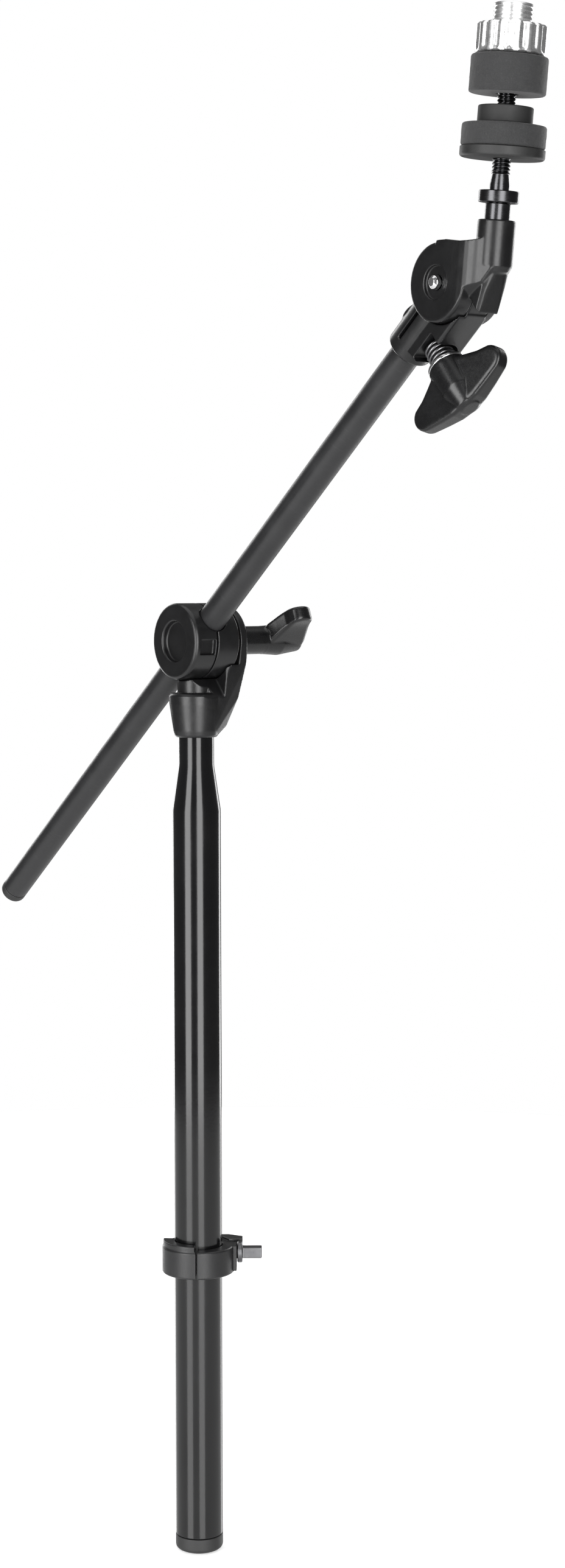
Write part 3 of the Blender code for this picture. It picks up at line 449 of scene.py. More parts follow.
def wing_nut(name, bore, neck, sweep, span, at, place, body, node):
    """A cast wing nut: thick swept wings on a tapered hub."""
    half = [(0, 0.6), (6.5, 0.8), (10.6, 3.0), (15.2, 5.3)]
    half += arc((17.2, 11.8), 5.8, -60, 72, 14)
    half += [(12.4, 19.4), (6.2, 21.1), (0, 21.6)]
    mirrored = [(-x, z) for x, z in reversed(half[1:-1])]
    blank = prism(in_mm(half + mirrored), -5.2 * MM, 5.2 * MM, 1.9 * MM)
    for _ in range(3):
        long = [edge for edge in blank.edges if edge.calc_length() > 2.4 * MM]
        bmesh.ops.subdivide_edges(blank, edges=long, cuts=1)
        bmesh.ops.triangulate(blank, faces=[face for face in blank.faces if len(face.verts) > 4])
    for vertex in blank.verts:
        vertex.co.x *= span
        reach = abs(vertex.co.x)
        bent = sweep * smooth_step(reach / (18 * MM))
        vertex.co.y = vertex.co.y * (1 - 0.35 * reach / (23.5 * MM)) - bent
    foot, waist = (CLAMP_NUT_NECK_R / MM + 0.1, (7.2, 9.0)) if neck else (8.2, (7.7, 12.5))
    hub = [(0, 21.8), (3.6, 21.8), (5.5, 20.6), waist, (foot, 1.2), (foot, 0), (0, 0)]
    steps = [("join", lathe(in_mm(hub), 96))]
    if neck:
        steps.append(("join", rod(CLAMP_NUT_NECK_R, -neck, 1 * MM, None, 96)))
    steps.append(("cut", rod(bore, -neck - 1 * MM, 18.4 * MM, None, 64)))
    return cast(name, blank, steps, at @ place, body, node, GLOSS_CAST, 0.3, 7)


# ---------------------------------------------------------------- post


def post():
    inner = POST_R - POST_WALL
    neck_inner = NECK_R - POST_WALL
    outline = [
        (neck_inner, NECK_TOP), (NECK_R, NECK_TOP), (NECK_R, SHOULDER_HIGH, 9 * MM),
        (POST_R, SHOULDER_LOW, 12 * MM), (POST_R, PLUG_HEAD + GAP), (inner, PLUG_HEAD + GAP),
        (inner, SHOULDER_LOW - 2 * MM), (neck_inner, SHOULDER_HIGH - 2 * MM),
    ]
    turned("post_shell", outline, STILL, "post", "post_tube", GLOSS_BLACK, 0.4 * MM, steps=160)
    spigot = inner - GAP
    outline = [(0, PLUG_DEPTH), (spigot - 0.6 * MM, PLUG_DEPTH), (spigot, PLUG_DEPTH - 1 * MM),
               (spigot, PLUG_HEAD), (POST_R, PLUG_HEAD), (POST_R, 0, 4.6 * MM), (6.5 * MM, 0, 0),
               *in_mm([(6.0, 0.4), (2.2, 0.4), (1.6, 0.1), (0, 0.1)])]
    turned("post_foot_plug", outline, STILL, "post", "post_end_plug", BLACK_PLASTIC)
    socket = [(0, YOKE_HIGH), (11.6 * MM, YOKE_HIGH), (12.6 * MM, YOKE_HIGH - 1.2 * MM),
              (12.3 * MM, YOKE_HIGH - 5 * MM), (YOKE_R + 0.6 * MM, YOKE_LOW + 3 * MM),
              (YOKE_R, YOKE_LOW + 0.8 * MM), (YOKE_R - 0.8 * MM, YOKE_LOW), (0, YOKE_LOW)]
    ear = circle(EAR_R, (0, EAR_BACK - 1 * MM, CLAMP_Z), (0, 1, 0), 110)
    ear += circle(EAR_R, (0, EAR_FACE - 1 * MM, CLAMP_Z), (0, 1, 0), 110)
    ear += circle(EAR_R - 1 * MM, (0, EAR_FACE, CLAMP_Z), (0, 1, 0), 110)
    ear += circle(YOKE_R - 0.2 * MM, (0, 0, YOKE_LOW + 0.9 * MM), (0, 0, 1))
    ear += [(side * 14.4 * MM, EAR_FACE, 416 * MM) for side in (-1, 1)]
    ear += [(side * 10.6 * MM, EAR_FACE - 1.8 * MM, 400 * MM) for side in (-1, 1)]
    ear += [(side * 7 * MM, EAR_FACE - 6 * MM, 387 * MM) for side in (-1, 1)]
    ear += [(side * 5 * MM, 8.6 * MM, YOKE_LOW + 0.9 * MM) for side in (-1, 1)]
    swing = Matrix.Translation((0, 0, CLAMP_Z)) @ TO_Y
    middle = CLAMP_Z - (BOOM_R + 0.5 * MM) / math.cos(math.radians(50))
    far = 60 * MM
    end, top = middle - far * math.tan(math.radians(50)), CLAMP_Z + 40 * MM
    pin = Matrix.Translation((0, 0, PIN_Z)) @ Matrix.Rotation(PIN_TURN, 4, "Z") @ TO_X
    room = prism([(0, middle), (far, end), (far, top), (-far, top), (-far, end)], -40 * MM, BOOM_R + 0.8 * MM)
    steps = [("join", hull(ear)), ("join", rod(8.6 * MM, YOKE_HIGH - 1 * MM, YOKE_HIGH + 7 * MM)),
             ("cut", rod(DRUM_R + 0.5 * MM, -30 * MM, EAR_BACK, swing)), ("cut", room),
             ("cut", rod(CLAMP_BOLT_R + GAP, 0, 30 * MM, swing, 64)),
             ("cut", rod(NECK_R + GAP, YOKE_LOW - 1 * MM, NECK_TOP + GAP)),
             ("cut", rod(1.7 * MM, -14 * MM, 0, pin, 40))]
    cast("yoke_casting", lathe(socket), steps, STILL, "post", "clamp_yoke", CAST_BLACK, 0.32, 5)


# ---------------------------------------------------------------- stop lock


def stop_lock():
    low, high = LOCK_LOW - KEY_BOLT_Z, LOCK_HIGH - KEY_BOLT_Z
    inner = POST_R + GAP
    collar = [(inner, high), (LOCK_R - 0.6 * MM, high), (LOCK_R, high - 0.6 * MM), (LOCK_R, low + 0.6 * MM),
              (LOCK_R - 0.6 * MM, low), (inner, low)]
    sector = arc((0, 0), LOCK_R - 0.5 * MM, 95, 185, 40) + arc((0, 0), inner + 0.2 * MM, 185, 95, 40)
    key = prism(sector, high - 2 * MM, high + LOCK_TAB, 0.3 * MM)
    key.transform(Matrix.Rotation(math.radians(90), 4, "X"))
    tab = [(8, 14), (14, 14), (20.5, 10.6), (20.5, 6.2), (14, 5.4)]
    root = box((13 * MM, -4.2 * MM, low + 1 * MM), (17.9 * MM, 4.2 * MM, high - 0.1 * MM))
    steps = [("join", key), ("join", root),
             ("join", hull([(x * MM, y * MM, z) for x, y in tab for z in (high - 4 * MM, high + 1.0 * MM)])),
             ("cut", rod(inner, low - 1 * MM, high + 5 * MM)),
             ("cut", box((-LOCK_SPLIT, -20 * MM, low - 1 * MM), (0, -POST_R + 2 * MM, high + 4 * MM))),
             ("cut", rod(3.2 * MM, 10 * MM, 19 * MM, TO_X, 48))]
    cast("lock_collar", lathe(collar), steps, AT_LOCK, "stop_lock", "stop_lock_ring", SATIN_BLACK, 0.22, 3)
    screw = in_mm([(0, 20.6), (4.5, 20.6), (4.9, 20.2), (4.9, 18.6), (4.5, 18.2), (3.0, 18.2), (3.0, 12.2),
                   (2.4, 11.6), (0, 11.6)])
    head = box((-2.5 * MM, -2.5 * MM, 20 * MM), (2.5 * MM, 2.5 * MM, 29.6 * MM))
    bmesh.ops.bevel(head, geom=list(head.edges), offset=0.5 * MM, segments=3, profile=0.6, affect="EDGES")
    cast("key_bolt_head", lathe(screw, 96), [("join", head)], AT_LOCK @ TO_X, "key_bolt", "key_bolt",
         BOLT_METAL, 0.14, 2)


# ---------------------------------------------------------------- boom clamp


def drum_half(name, node, outline, extra):
    """One half of the drum: its outline turned about Y, bored for the rod and for the bolt's eye."""
    steps = [("cut", rod(BOOM_R + GAP, -30 * MM, 30 * MM, TO_X, 96)),
             ("cut", rod(EYE_R + GAP, -EYE_WIDTH / 2 - GAP, EYE_WIDTH / 2 + GAP, TO_X, 96)), *extra]
    blank = lathe(rounded(outline, 0.5 * MM, False), 144, TO_Y)
    cast(name, blank, steps, AT_CLAMP, "boom_clamp", node, CAST_BLACK, 0.28, 4)


def boom_clamp():
    front, recess = -DRUM_FRONT, 9.2 * MM
    posts = [Matrix.Translation((0, 0, side * 12.0 * MM)) @ TO_Y for side in (-1, 1)]
    outline = [(0, -GAP), (DRUM_R, -GAP), (DRUM_R, front + 1.6 * MM), (DRUM_R - 0.5 * MM, front + 0.5 * MM),
               (DRUM_R - 1.6 * MM, front), (recess + 0.6 * MM, front), (recess, front + 0.6 * MM),
               (recess, front + 2.8 * MM), (0, front + 2.8 * MM)]
    pocket = box((DRUM_R - 2.2 * MM, -9.4 * MM, -3.4 * MM), (DRUM_R + 2 * MM, -1.2 * MM, 3.4 * MM))
    pocket.transform(Matrix.Rotation(math.radians(47), 4, "Y"))
    holes = [("cut", rod(1.5 * MM, -8.4 * MM, 1 * MM, post, 32)) for post in posts]
    drum_half("front_cap", "drum_cap", outline, holes + [("cut", pocket)])
    outline = [(0, DRUM_BACK), (DRUM_R - 0.6 * MM, DRUM_BACK), (DRUM_R, DRUM_BACK - 0.6 * MM),
               (DRUM_R, GAP), (0, GAP)]
    extra = [("cut", rod(CLAMP_BOLT_R + GAP, 5 * MM, 15 * MM, TO_Y, 64))]
    for post in posts:
        extra += [("cut", rod(1.8 * MM, -1 * MM, 14 * MM, post, 32)),
                  ("cut", rod(3.1 * MM, 8.9 * MM, 14 * MM, post, 48))]
    drum_half("inner_half", "drum_inner", outline, extra)
    hole = CLAMP_BOLT_R + GAP
    low, high = DRUM_BACK + GAP, EAR_BACK - GAP
    outline = [(hole, high), (15.2 * MM, high), (15.2 * MM, low), (hole, low)]
    turned("friction_pad", outline, AT_CLAMP, "boom_clamp", "friction_disc", FIBRE, 0.15 * MM, TO_Y)
    outline = [(hole, CLAMP_WASHER_TOP), (7.8 * MM, CLAMP_WASHER_TOP), (7.8 * MM, 18.5 * MM),
               (hole, 18.5 * MM)]
    turned("clamp_washer_ring", outline, AT_CLAMP, "boom_clamp", "clamp_washer", CHROME, 0.3 * MM, TO_Y)
    turn = Matrix.Rotation(BOOM_TILT - CLAMP_NUT_TURN, 4, "Y")
    place = Matrix.Translation((0, CLAMP_NUT_Y, 0)) @ turn @ TO_Y
    neck = CLAMP_NUT_Y - CLAMP_WASHER_TOP - GAP
    wing_nut("clamp_wings", CLAMP_BOLT_R + GAP, neck, 5.2 * MM, 0.985, AT_CLAMP, place,
             "clamp_wing_nut", "clamp_wing_nut")


# ---------------------------------------------------------------- boom rod


def boom():
    low, high = -BOOM_TAIL + BOOM_CAP + GAP, BOOM_REACH + BOOM_SEAT
    inner = BOOM_R - BOOM_WALL
    outline = [(inner, high), (BOOM_R, high), (BOOM_R, low), (inner, low)]
    turned("boom_tube", outline, AT_CLAMP, "boom", "boom_rod", SATIN_ROD, 0.4 * MM, TO_X, steps=144)
    low = -BOOM_TAIL
    spigot = inner - 0.2 * MM
    outline = [(0, low + 15 * MM), (spigot, low + 15 * MM, 0.6 * MM), (spigot, low + BOOM_CAP),
               (BOOM_R, low + BOOM_CAP), (BOOM_R, low, 2.2 * MM), (0, low)]
    turned("boom_cap", outline, AT_CLAMP, "boom", "boom_end_cap", BLACK_PLASTIC, 0.3 * MM, TO_X)


# ---------------------------------------------------------------- tilter base


def coil_wire(radius, wire, low, high, turns, steps=300, sides=14):
    """A round wire wound about Z at an even pitch, its two ends capped."""
    shape = bmesh.new()
    bottom, rise = low + wire / 2, high - low - wire
    rings = []
    for index in range(steps + 1):
        share = index / steps
        angle = math.tau * turns * share
        height = bottom + rise * share
        centre = Vector((radius * math.cos(angle), radius * math.sin(angle), height))
        out = Vector((math.cos(angle), math.sin(angle), 0))
        along = Vector((-radius * out.y, radius * out.x, rise / (math.tau * turns))).normalized()
        up = along.cross(out)
        rings.append([shape.verts.new(centre + wire / 2 * (math.cos(math.tau * s / sides) * out
                                                           + math.sin(math.tau * s / sides) * up))
                      for s in range(sides)])
    for first, second in zip(rings, rings[1:]):
        for s in range(sides):
            shape.faces.new([first[s], first[(s + 1) % sides], second[(s + 1) % sides], second[s]])
    shape.faces.new(rings[0])
    shape.faces.new(rings[-1])
    bmesh.ops.recalc_face_normals(shape, faces=shape.faces)
    return shape


def tilter_base():
    outline = [(0, -12 * MM), (SOCKET_R, -12 * MM), (SOCKET_R, SOCKET_FROM + 1.2 * MM),
               (SOCKET_R - 1.2 * MM, SOCKET_FROM), (0, SOCKET_FROM)]
    jaw = [(x, y, LUG_LOW) for x in (-0.8 * MM, -30.2 * MM) for y in (-6.5 * MM, 7.6 * MM)]
    jaw += [(x, y, LUG_LOW + 1 * MM) for x in (0.2 * MM, -31.0 * MM) for y in (-7.4 * MM, 8.5 * MM)]
    jaw += [(x, y, -1.5 * MM) for x in (-6 * MM, -33.5 * MM) for y in (-7.4 * MM, 8.5 * MM)]
    open_side = box((JAW_BOLT_X - 6.95 * MM, -14 * MM, -30 * MM), (JAW_BOLT_X + 6.95 * MM, 0, SPRING_SEAT))
    steps = [("join", rod(LUG_R, -2 * MM, LUG_HIGH, ACROSS, 96, 0.8 * MM)), ("join", hull(jaw)),
             ("cut", rod(6.9 * MM, -30 * MM, SPRING_SEAT, ACROSS, 96)),
             ("cut", open_side),
             ("cut", rod(CHEEK_R + 0.5 * MM, -12 * MM, HUB_FRONT, TO_Y, 144)),
             ("cut", rod(CHEEK_R + 0.5 * MM, HUB_BACK, 12 * MM, TO_Y, 144)),
             ("join", rod(HUB_R, HUB_FRONT, HUB_BACK, TO_Y, 144)),
             ("cut", rod(BOSS_R + GAP, -5 * MM, 9 * MM, TO_Y)),
             ("cut", rod(BOOM_R + GAP, SOCKET_FROM - 1 * MM, BOOM_SEAT + GAP, TO_X)),
             ("cut", box((-31.5 * MM, -12 * MM, -JAW_SLIT / 2), (-8 * MM, 12 * MM, JAW_SLIT / 2))),
             ("cut", rod(JAW_BOLT_R + GAP, -14 * MM, 14 * MM, ACROSS, 64)),
             ("cut", rod(5.4 * MM, 4.4 * MM, 14 * MM, ACROSS, 64))]
    blank = lathe(outline, 120, TO_X)
    cast("jaw_casting", blank, steps, AT_BASE, "tilter_base", "tilter_base", CAST_BLACK, 0.3, 4)
    wound = to_mesh("jaw_spring", coil_wire(4.9 * MM, 1.5 * MM, -19.8 * MM, -10.5 * MM, 4))
    shown("jaw_spring", wound, AT_BASE @ ACROSS, "tilter_base", "tilter_spring", STEEL, 60)
    hole = JAW_BOLT_R + GAP
    outline = [(hole, -20.1 * MM), (7.9 * MM, -20.1 * MM), (7.9 * MM, -21.6 * MM), (hole, -21.6 * MM)]
    turned("jaw_washer", outline, AT_BASE, "tilter_base", "tilter_washer", CHROME, 0.4 * MM, ACROSS)
    place = Matrix.Translation((JAW_BOLT_X, 0, JAW_NUT_Z)) @ Matrix.Rotation(JAW_NUT_TURN, 4, "Z") @ DOWN
    wing_nut("jaw_wings", JAW_BOLT_R + GAP, 0.0, 0.2 * MM, 1.03, AT_BASE, place,
             "tilter_wing_nut", "tilter_wing_nut")


# ---------------------------------------------------------------- tilter arm


def tilter_arm():
    front = CHEEK_FRONT
    disc = [(0, CHEEK_BACK), (CHEEK_R, CHEEK_BACK), (CHEEK_R, front + 1.4 * MM),
            (CHEEK_R - 0.4 * MM, front + 0.4 * MM), (CHEEK_R - 1.4 * MM, front), (0, front)]
    edge = [(-1.5, 16.4), (11.5, 17.0), (20.4, 18.1), (20.4, 3.2), (12.5, -3.0), (0, -9.0)]
    bevel = [(22.4, 0.8), (14.3, -5.2)]
    end = [(26.0, 17.2), (26.2, 7.0)]
    web = [(x * MM, front, z * MM) for x, z in edge]
    web += [(x * MM, -BODY_FRONT, z * MM) for x, z in bevel]
    web += [(x * MM, -4.6 * MM, z * MM) for x, z in end]
    web += [(x * MM, CHEEK_BACK, z * MM) for x, z in edge + bevel + end]
    lean = [(-3, -12.4), (9, -11.6), (12.5, -11.3), (15, -10.8), (17, -10.1), (18.7, -9.2), (20.2, -8.2),
            (34, -1.6), (34, -26), (-3, -26)]
    wedge = prism(in_mm(lean), -30 * MM, 30 * MM)
    wedge.transform(TO_Y)
    stand = [(0, ROD_SOCKET_HIGH), (ROD_SOCKET_R - 0.5 * MM, ROD_SOCKET_HIGH),
             (ROD_SOCKET_R, ROD_SOCKET_HIGH - 0.5 * MM), (ROD_SOCKET_R, ROD_SOCKET_LOW + 3.5 * MM),
             (ROD_SOCKET_R - 1.2 * MM, ROD_SOCKET_LOW + 1 * MM), (ROD_SOCKET_R - 3.6 * MM, ROD_SOCKET_LOW),
             (0, ROD_SOCKET_LOW)]
    elbow = circle(6.6 * MM, (ROD_OFFSET, 0, 8 * MM), (0, 0, 1))
    elbow += [(x * MM, y, z * MM) for x, z in ((14, -2), (14.6, -5.0), (20.2, -11.0), (22.7, -2.6))
              for y in (-5.2 * MM, 4.6 * MM)]
    elbow += [(x * MM, -BODY_FRONT, z * MM)
              for x, z in ((13.5, -2.5), (14.8, -4.4), (19.5, -9.6), (21.6, -2.2), (19.6, 4))]
    dip = Matrix.Translation((10.6 * MM, 0, 56.4 * MM)) @ TO_Y
    steps = [("join", hull(web)), ("cut", rod(40 * MM, -14 * MM, -2 * MM, dip, 300)), ("cut", wedge),
             ("cut", rod(6.8 * MM, front - 1 * MM, front + 1.4 * MM, TO_Y)),
             ("join", lathe(stand, 120, UPRIGHT)), ("join", hull(elbow)),
             ("cut", rod(HUB_R + 0.5 * MM, HUB_FRONT - GAP, 14 * MM, TO_Y, 144)),
             ("join", rod(BOSS_R, CHEEK_BACK - 1 * MM, HUB_BACK, TO_Y)),
             ("cut", rod(2.5 * MM + GAP, -14 * MM, 14 * MM, TO_Y, 64)),
             ("cut", rod(ROD_R + GAP, 8 * MM, 30 * MM, UPRIGHT, 96))]
    cast("arm_casting", lathe(disc, 144, TO_Y), steps, AT_ARM, "tilter_arm", "tilter_arm", CAST_BLACK, 0.3, 8)
    outline = [(2.5 * MM + GAP, COVER_BACK), (HUB_R, COVER_BACK, 1.2 * MM), (HUB_R, COVER_FRONT),
               (2.5 * MM + GAP, COVER_FRONT)]
    turned("arm_cover", outline, AT_ARM, "tilter_arm", "tilter_cover", CAST_BLACK, 0.3 * MM, TO_Y)
    dome = [(0, -13.8), (1.6, -13.6), (2.7, -12.7), (3.1, -11.0), (2.5, -11.0), (2.5, 11.7), (4.0, 11.7),
            (3.8, 12.6), (2.6, 13.2), (0, 13.2)]
    turned("arm_rivet", in_mm(reversed(dome)), AT_ARM, "tilter_arm", "pivot_rivet", CHROME, 0.5 * MM, TO_Y,
           steps=72)


# ---------------------------------------------------------------- cymbal rod and seat


def threaded(spot):
    """Cuts a helical thread into one stretch of the rod, from where its thread starts to just below its tip.
    """
    radius = math.hypot(spot.x, spot.y)
    height = spot.z
    thread_end = ROD_TIP - 0.2 * MM
    if radius < 1e-6 or height < THREAD_START or height > thread_end:
        return spot
    turn = (height / THREAD_PITCH - math.atan2(spot.y, spot.x) / math.tau) % 1
    ridge = max(0.0, min(1.0, 1.35 * (1 - abs(2 * turn - 1)) - 0.15))
    fade = smooth_step((height - THREAD_START) / THREAD_FADE)
    fade *= smooth_step((thread_end - height) / THREAD_FADE)
    wanted = THREAD_CREST - (THREAD_CREST - THREAD_ROOT) * (1 - ridge) * fade
    return Vector((spot.x * wanted / radius, spot.y * wanted / radius, height))


def cymbal_rod():
    shoulder = COLLAR_LOW - GAP
    count = round((ROD_TIP - 42.4 * MM) / (THREAD_PITCH / 10))
    outline = [(0, ROD_TIP), (THREAD_CREST - 0.4 * MM, ROD_TIP, 0)]
    outline += [(THREAD_CREST, ROD_TIP - 0.3 * MM - (ROD_TIP - 42.9 * MM) * index / count, 0)
                for index in range(count)]
    outline += [(3.3 * MM, 42.4 * MM), (3.9 * MM, 38.4 * MM), (3.9 * MM, shoulder), (ROD_R, shoulder),
                (ROD_R, 9.1 * MM), (ROD_R - 0.6 * MM, 8.4 * MM), (0, 8.4 * MM)]
    turned("threaded_rod", outline, AT_ARM, "tilter_arm", "cymbal_rod", DARK_CHROME, 0.25 * MM,
           UPRIGHT, threaded, 64)
    outline = [(3.9 * MM + GAP, COLLAR_HIGH), (7.9 * MM, COLLAR_HIGH), (7.9 * MM, COLLAR_LOW),
               (3.9 * MM + GAP, COLLAR_LOW)]
    turned("stop_collar", outline, AT_ARM, "tilter_arm", "rod_collar", DARK_CHROME, 0.5 * MM, UPRIGHT)


def matted(depth, seed):
    """Pushes a felt's surface in and out a little, as pressed wool does."""
    def warp(spot):
        push = noise.fractal(spot / (2.2 * MM) + Vector((seed, seed, seed)), 0.6, 2.1, 4)
        away = Vector((spot.x, spot.y, 0))
        return spot + away.normalized() * (depth * push)
    return warp


def dense(outline, fillet, spacing):
    """The rounded outline of a ring, with points at most spacing apart."""
    corners = rounded(outline, fillet, True)
    out = []
    for start, end in zip(corners, corners[1:] + corners[:1]):
        parts = max(1, math.ceil(math.dist(start, end) / spacing))
        step = [(end[0] - start[0]) / parts, (end[1] - start[1]) / parts]
        out += [(start[0] + step[0] * part, start[1] + step[1] * part, 0) for part in range(parts)]
    return out


def seat():
    bore = THREAD_CREST + GAP
    hub_top, cup_floor = LOWER_FELT_HIGH - 1 * MM, SEAT_LOW + SEAT_CUP
    outline = [(bore, hub_top), (SEAT_HUB_R, hub_top), (SEAT_HUB_R, cup_floor), (SEAT_R, cup_floor),
               (SEAT_R, SEAT_LOW, 1.2 * MM), (bore, SEAT_LOW)]
    turned("felt_cup", outline, AT_ARM, "cymbal_seat", "seat_cup", BLACK_PLASTIC, 0.3 * MM, UPRIGHT)
    low, rim = cup_floor + GAP, SEAT_R - 0.2 * MM
    hole = SEAT_HUB_R + GAP
    outline = [(hole, LOWER_FELT_HIGH), (rim, LOWER_FELT_HIGH), (rim, low), (hole, low)]
    felt = turned("felt_lower", dense(outline, 0.9 * MM, 0.5 * MM), AT_ARM, "cymbal_seat", "lower_felt", FELT,
                  0, UPRIGHT, matted(0.08 * MM, 3.0), 180)
    outline = [(bore, BELL_REST_HIGH), (BELL_REST_R, BELL_REST_HIGH), (BELL_REST_R, LOWER_FELT_HIGH + GAP),
               (bore, LOWER_FELT_HIGH + GAP)]
    turned("bell_washer", outline, AT_ARM, "cymbal_seat", "bell_rest", RUBBER, 0.6 * MM, UPRIGHT)
    outline = [(bore, UPPER_FELT_HIGH), (UPPER_FELT_R, UPPER_FELT_HIGH), (UPPER_FELT_R, UPPER_FELT_LOW),
               (bore, UPPER_FELT_LOW)]
    felt = turned("felt_upper", dense(outline, 0.9 * MM, 0.5 * MM), AT_ARM, "upper_felt", "upper_felt", FELT,
                  0, UPRIGHT, matted(0.08 * MM, 9.0), 180)


def fluted(spot):
    """Scallops the nut's skirt with finger flutes."""
    radius = math.hypot(spot.x, spot.y)
    if radius < 11.5 * MM:
        return spot
    wave = 0.5 - 0.5 * math.cos(16 * math.atan2(spot.y, spot.x))
    inside = smooth_step((spot.z - NUT_LOW - 0.8 * MM) / (1.4 * MM))
    depth = 0.75 * MM * (1 - wave) ** 2 * inside * smooth_step((radius - 11.5 * MM) / (1.5 * MM))
    return Vector((spot.x * (1 - depth / radius), spot.y * (1 - depth / radius), spot.z))


def seat_nut():
    bore = THREAD_CREST + GAP
    rib = 1.6 * MM
    outline = [(bore, NUT_HIGH, 0.4 * MM), (NUT_BOSS_R - 0.8 * MM, NUT_HIGH)]
    height = NUT_HIGH - 0.6 * MM
    while height - rib > NUT_STEP + 0.4 * MM:
        outline += [(NUT_BOSS_R, height), (NUT_BOSS_R, height - rib / 2),
                    (NUT_BOSS_R - 0.5 * MM, height - 0.75 * rib)]
        height -= rib
    skirt_top, skirt = NUT_STEP - 1 * MM, NUT_STEP - NUT_LOW - 1.8 * MM
    outline += [(NUT_BOSS_R - 0.5 * MM, NUT_STEP, 0.3 * MM), (NUT_R - 1 * MM, NUT_STEP), (NUT_R, skirt_top)]
    outline += [(NUT_R, skirt_top - skirt * part / 16, 0) for part in range(1, 17)]
    outline += [(NUT_R - 0.6 * MM, NUT_LOW), (bore, NUT_LOW)]
    turned("thumb_nut", outline, AT_ARM, "seat_nut", "seat_nut", CHROME_NUT, 0.3 * MM, UPRIGHT, fluted, 320)


# ---------------------------------------------------------------- carried-over nodes


def refinish(node, material):
    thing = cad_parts[node]
    for slot in thing.material_slots:
        slot.material = material


# ---------------------------------------------------------------- studio


FLOOR_R, FLOOR_GLOW, FLOOR_CLEAR = 1.0, 0.5, 0.35
AMBIENT, OVERHEAD = 0.15, 1.05
STRIP_HEIGHT, STRIP_TALL, STRIP_AIM = 0.35, 2.4, 0.35
STRIPS = [("key_strip", -79.5, 1.9, 0.95, 6.5), ("fill_strip", -21, 2.0, 0.95, 6.5),
          ("rim_strip_left", 168, 2.0, 0.6, 4.0), ("rim_strip_right", 104, 2.0, 0.6, 4.5)]
CAMERA_AT, CAMERA_TURN, LENS = (0.9495, -0.6793, 0.4543), (85.384, 0.068, 52.475), 38.98


def strip(name, azimuth, distance, width, radiance):
    """A tall diffused strip light, standing off to one side and facing the object."""
    light = bpy.data.lights.new(name, "AREA")
    light.shape = "RECTANGLE"
    light.size, light.size_y = width, STRIP_TALL
    light.energy = radiance * math.pi * width * STRIP_TALL
    lamp = bpy.data.objects.new(name, light)
    angle = math.radians(azimuth)
    lamp.location = (distance * math.cos(angle), distance * math.sin(angle), STRIP_HEIGHT)
    lamp.rotation_euler = (Vector((0, 0, STRIP_AIM)) - lamp.location).to_track_quat("-Z", "Y").to_euler()
    lamp.visible_camera = False
    bpy.context.scene.collection.objects.link(lamp)


def pale_floor():
    """White, and partly clear to reflections so that a gloss tube keeps its streaks down to its foot."""
    pale = bpy.data.materials.new("pale_floor")
    pale.use_nodes = True
    nodes, links = pale.node_tree.nodes, pale.node_tree.links
    white = nodes["Principled BSDF"]
    white.inputs["Base Color"].default_value = (0.8, 0.8, 0.8, 1)
    white.inputs["Roughness"].default_value = 0.9
    white.inputs["Emission Color"].default_value = (1, 1, 1, 1)
    white.inputs["Emission Strength"].default_value = FLOOR_GLOW
    clear = nodes.new("ShaderNodeBsdfTransparent")
    path = nodes.new("ShaderNodeLightPath")
    share = nodes.new("ShaderNodeMath")
    share.operation = "MULTIPLY"
    share.inputs[1].default_value = FLOOR_CLEAR
    blend = nodes.new("ShaderNodeMixShader")
    links.new(path.outputs["Is Glossy Ray"], share.inputs[0])
    links.new(share.outputs[0], blend.inputs[0])
    links.new(white.outputs[0], blend.inputs[1])
    links.new(clear.outputs[0], blend.inputs[2])
    links.new(blend.outputs[0], nodes["Material Output"].inputs[0])
    return pale


def floor():
    disc = bmesh.new()
    bmesh.ops.create_circle(disc, cap_ends=True, radius=FLOOR_R, segments=96)
    sheet = bpy.data.objects.new("floor", to_mesh("floor", disc))
    sheet.location.z = -0.4 * MM
    sheet.visible_shadow = False
    sheet.data.materials.append(pale_floor())
    bpy.context.scene.collection.objects.link(sheet)


def surroundings():
    """A dim white surround for light, seen by the camera as plain white."""
    world = bpy.data.worlds.new("studio")
    bpy.context.scene.world = world
    world.use_nodes = True
    tree = world.node_tree
    back = tree.nodes["Background"]
    back.inputs[0].default_value = (1, 1, 1, 1)
    back.inputs[1].default_value = AMBIENT
    seen = tree.nodes.new("ShaderNodeBackground")
    seen.inputs[0].default_value = (1, 1, 1, 1)
    seen.inputs[1].default_value = 1.0
    path = tree.nodes.new("ShaderNodeLightPath")
    pick = tree.nodes.new("ShaderNodeMixShader")
    tree.links.new(path.outputs["Is Camera Ray"], pick.inputs[0])
    tree.links.new(back.outputs[0], pick.inputs[1])
    tree.links.new(seen.outputs[0], pick.inputs[2])
    tree.links.new(pick.outputs[0], tree.nodes["World Output"].inputs[0])


def studio():
    scene = bpy.context.scene
    floor()
    for settings in STRIPS:
        strip(*settings)
    sun = bpy.data.lights.new("overhead", "SUN")
    sun.energy = OVERHEAD
    sun.angle = math.radians(70)
    lamp = bpy.data.objects.new("overhead", sun)
    lamp.location = (0, 0, 3)
    scene.collection.objects.link(lamp)
    surroundings()
    scene.view_settings.view_transform = "Standard"
    view = bpy.data.cameras.new("camera")
    view.sensor_fit = "VERTICAL"
    view.sensor_height = 24
    view.lens = LENS
    view.clip_start = 0.02
    camera = bpy.data.objects.new("camera", view)
    camera.location = CAMERA_AT
    camera.rotation_euler = tuple(math.radians(angle) for angle in CAMERA_TURN)
    scene.collection.objects.link(camera)
    scene.camera = camera


# ---------------------------------------------------------------- build


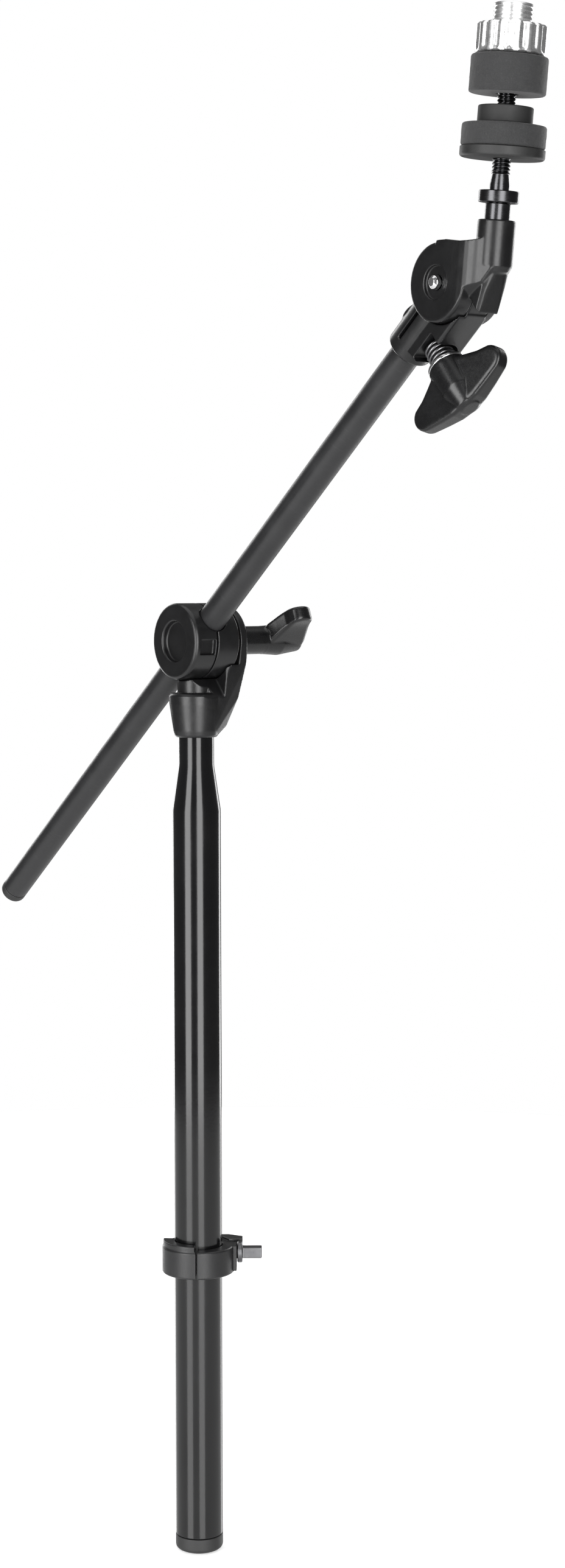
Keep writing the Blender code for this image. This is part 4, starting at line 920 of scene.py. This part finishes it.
GLOSS_BLACK = gloss_black()
CAST_BLACK = coated("cast_black", (0.003, 0.003, 0.0032), (0.007, 0.007, 0.0075),
                    0.28, 0.38, 0.9 * MM, 0.08 * MM, 0.18)
GLOSS_CAST = coated("gloss_cast", (0.003, 0.003, 0.0032), (0.006, 0.006, 0.0065),
                    0.22, 0.32, 1.1 * MM, 0.07 * MM, 0.12)
SATIN_BLACK = coated("satin_black", (0.006, 0.006, 0.0065), (0.012, 0.012, 0.0125),
                     0.36, 0.46, 0.7 * MM, 0.09 * MM, 0.3)
DARK_BOLT = coated("dark_bolt", (0.006, 0.006, 0.0065), (0.012, 0.012, 0.0125),
                   0.3, 0.42, 0.7 * MM, 0.06 * MM, 0.25, True)
SATIN_ROD = satin_rod()
BLACK_PLASTIC = moulded("black_plastic", (0.009, 0.009, 0.009), (0.017, 0.017, 0.017), 0.5, 0.62, 0.35 * MM)
RUBBER = moulded("rubber_black", (0.009, 0.009, 0.009), (0.017, 0.017, 0.017), 0.6, 0.75, 0.5 * MM)
DARK_CHROME = metal("dark_chrome", (0.05, 0.05, 0.053), (0.09, 0.09, 0.093), 0.18, 0.32)
CHROME = metal("chrome", (0.74, 0.74, 0.75), (0.86, 0.86, 0.86), 0.1, 0.22)
CHROME_NUT = metal("chrome_nut", (0.9, 0.9, 0.9), (0.97, 0.97, 0.97), 0.22, 0.36)
BOLT_METAL = metal("bolt_metal", (0.10, 0.10, 0.105), (0.18, 0.18, 0.185), 0.25, 0.42)
STEEL = metal("spring_steel", (0.12, 0.12, 0.125), (0.22, 0.22, 0.225), 0.22, 0.38, (1, 1, 1))
ZINC_CAD = metal("zinc_plate", (0.34, 0.34, 0.33), (0.56, 0.56, 0.55), 0.28, 0.46, (1, 1, 1), True, 2 * MM)
FELT = felted()
FIBRE = fibre()

post()
stop_lock()
boom_clamp()
boom()
tilter_base()
tilter_arm()
cymbal_rod()
seat()
seat_nut()
for bare in ("yoke_pin", "cap_screw_upper", "cap_screw_lower", "eye_bolt"):
    refinish(bare, ZINC_CAD)
refinish("tilter_bolt", DARK_BOLT)
studio()
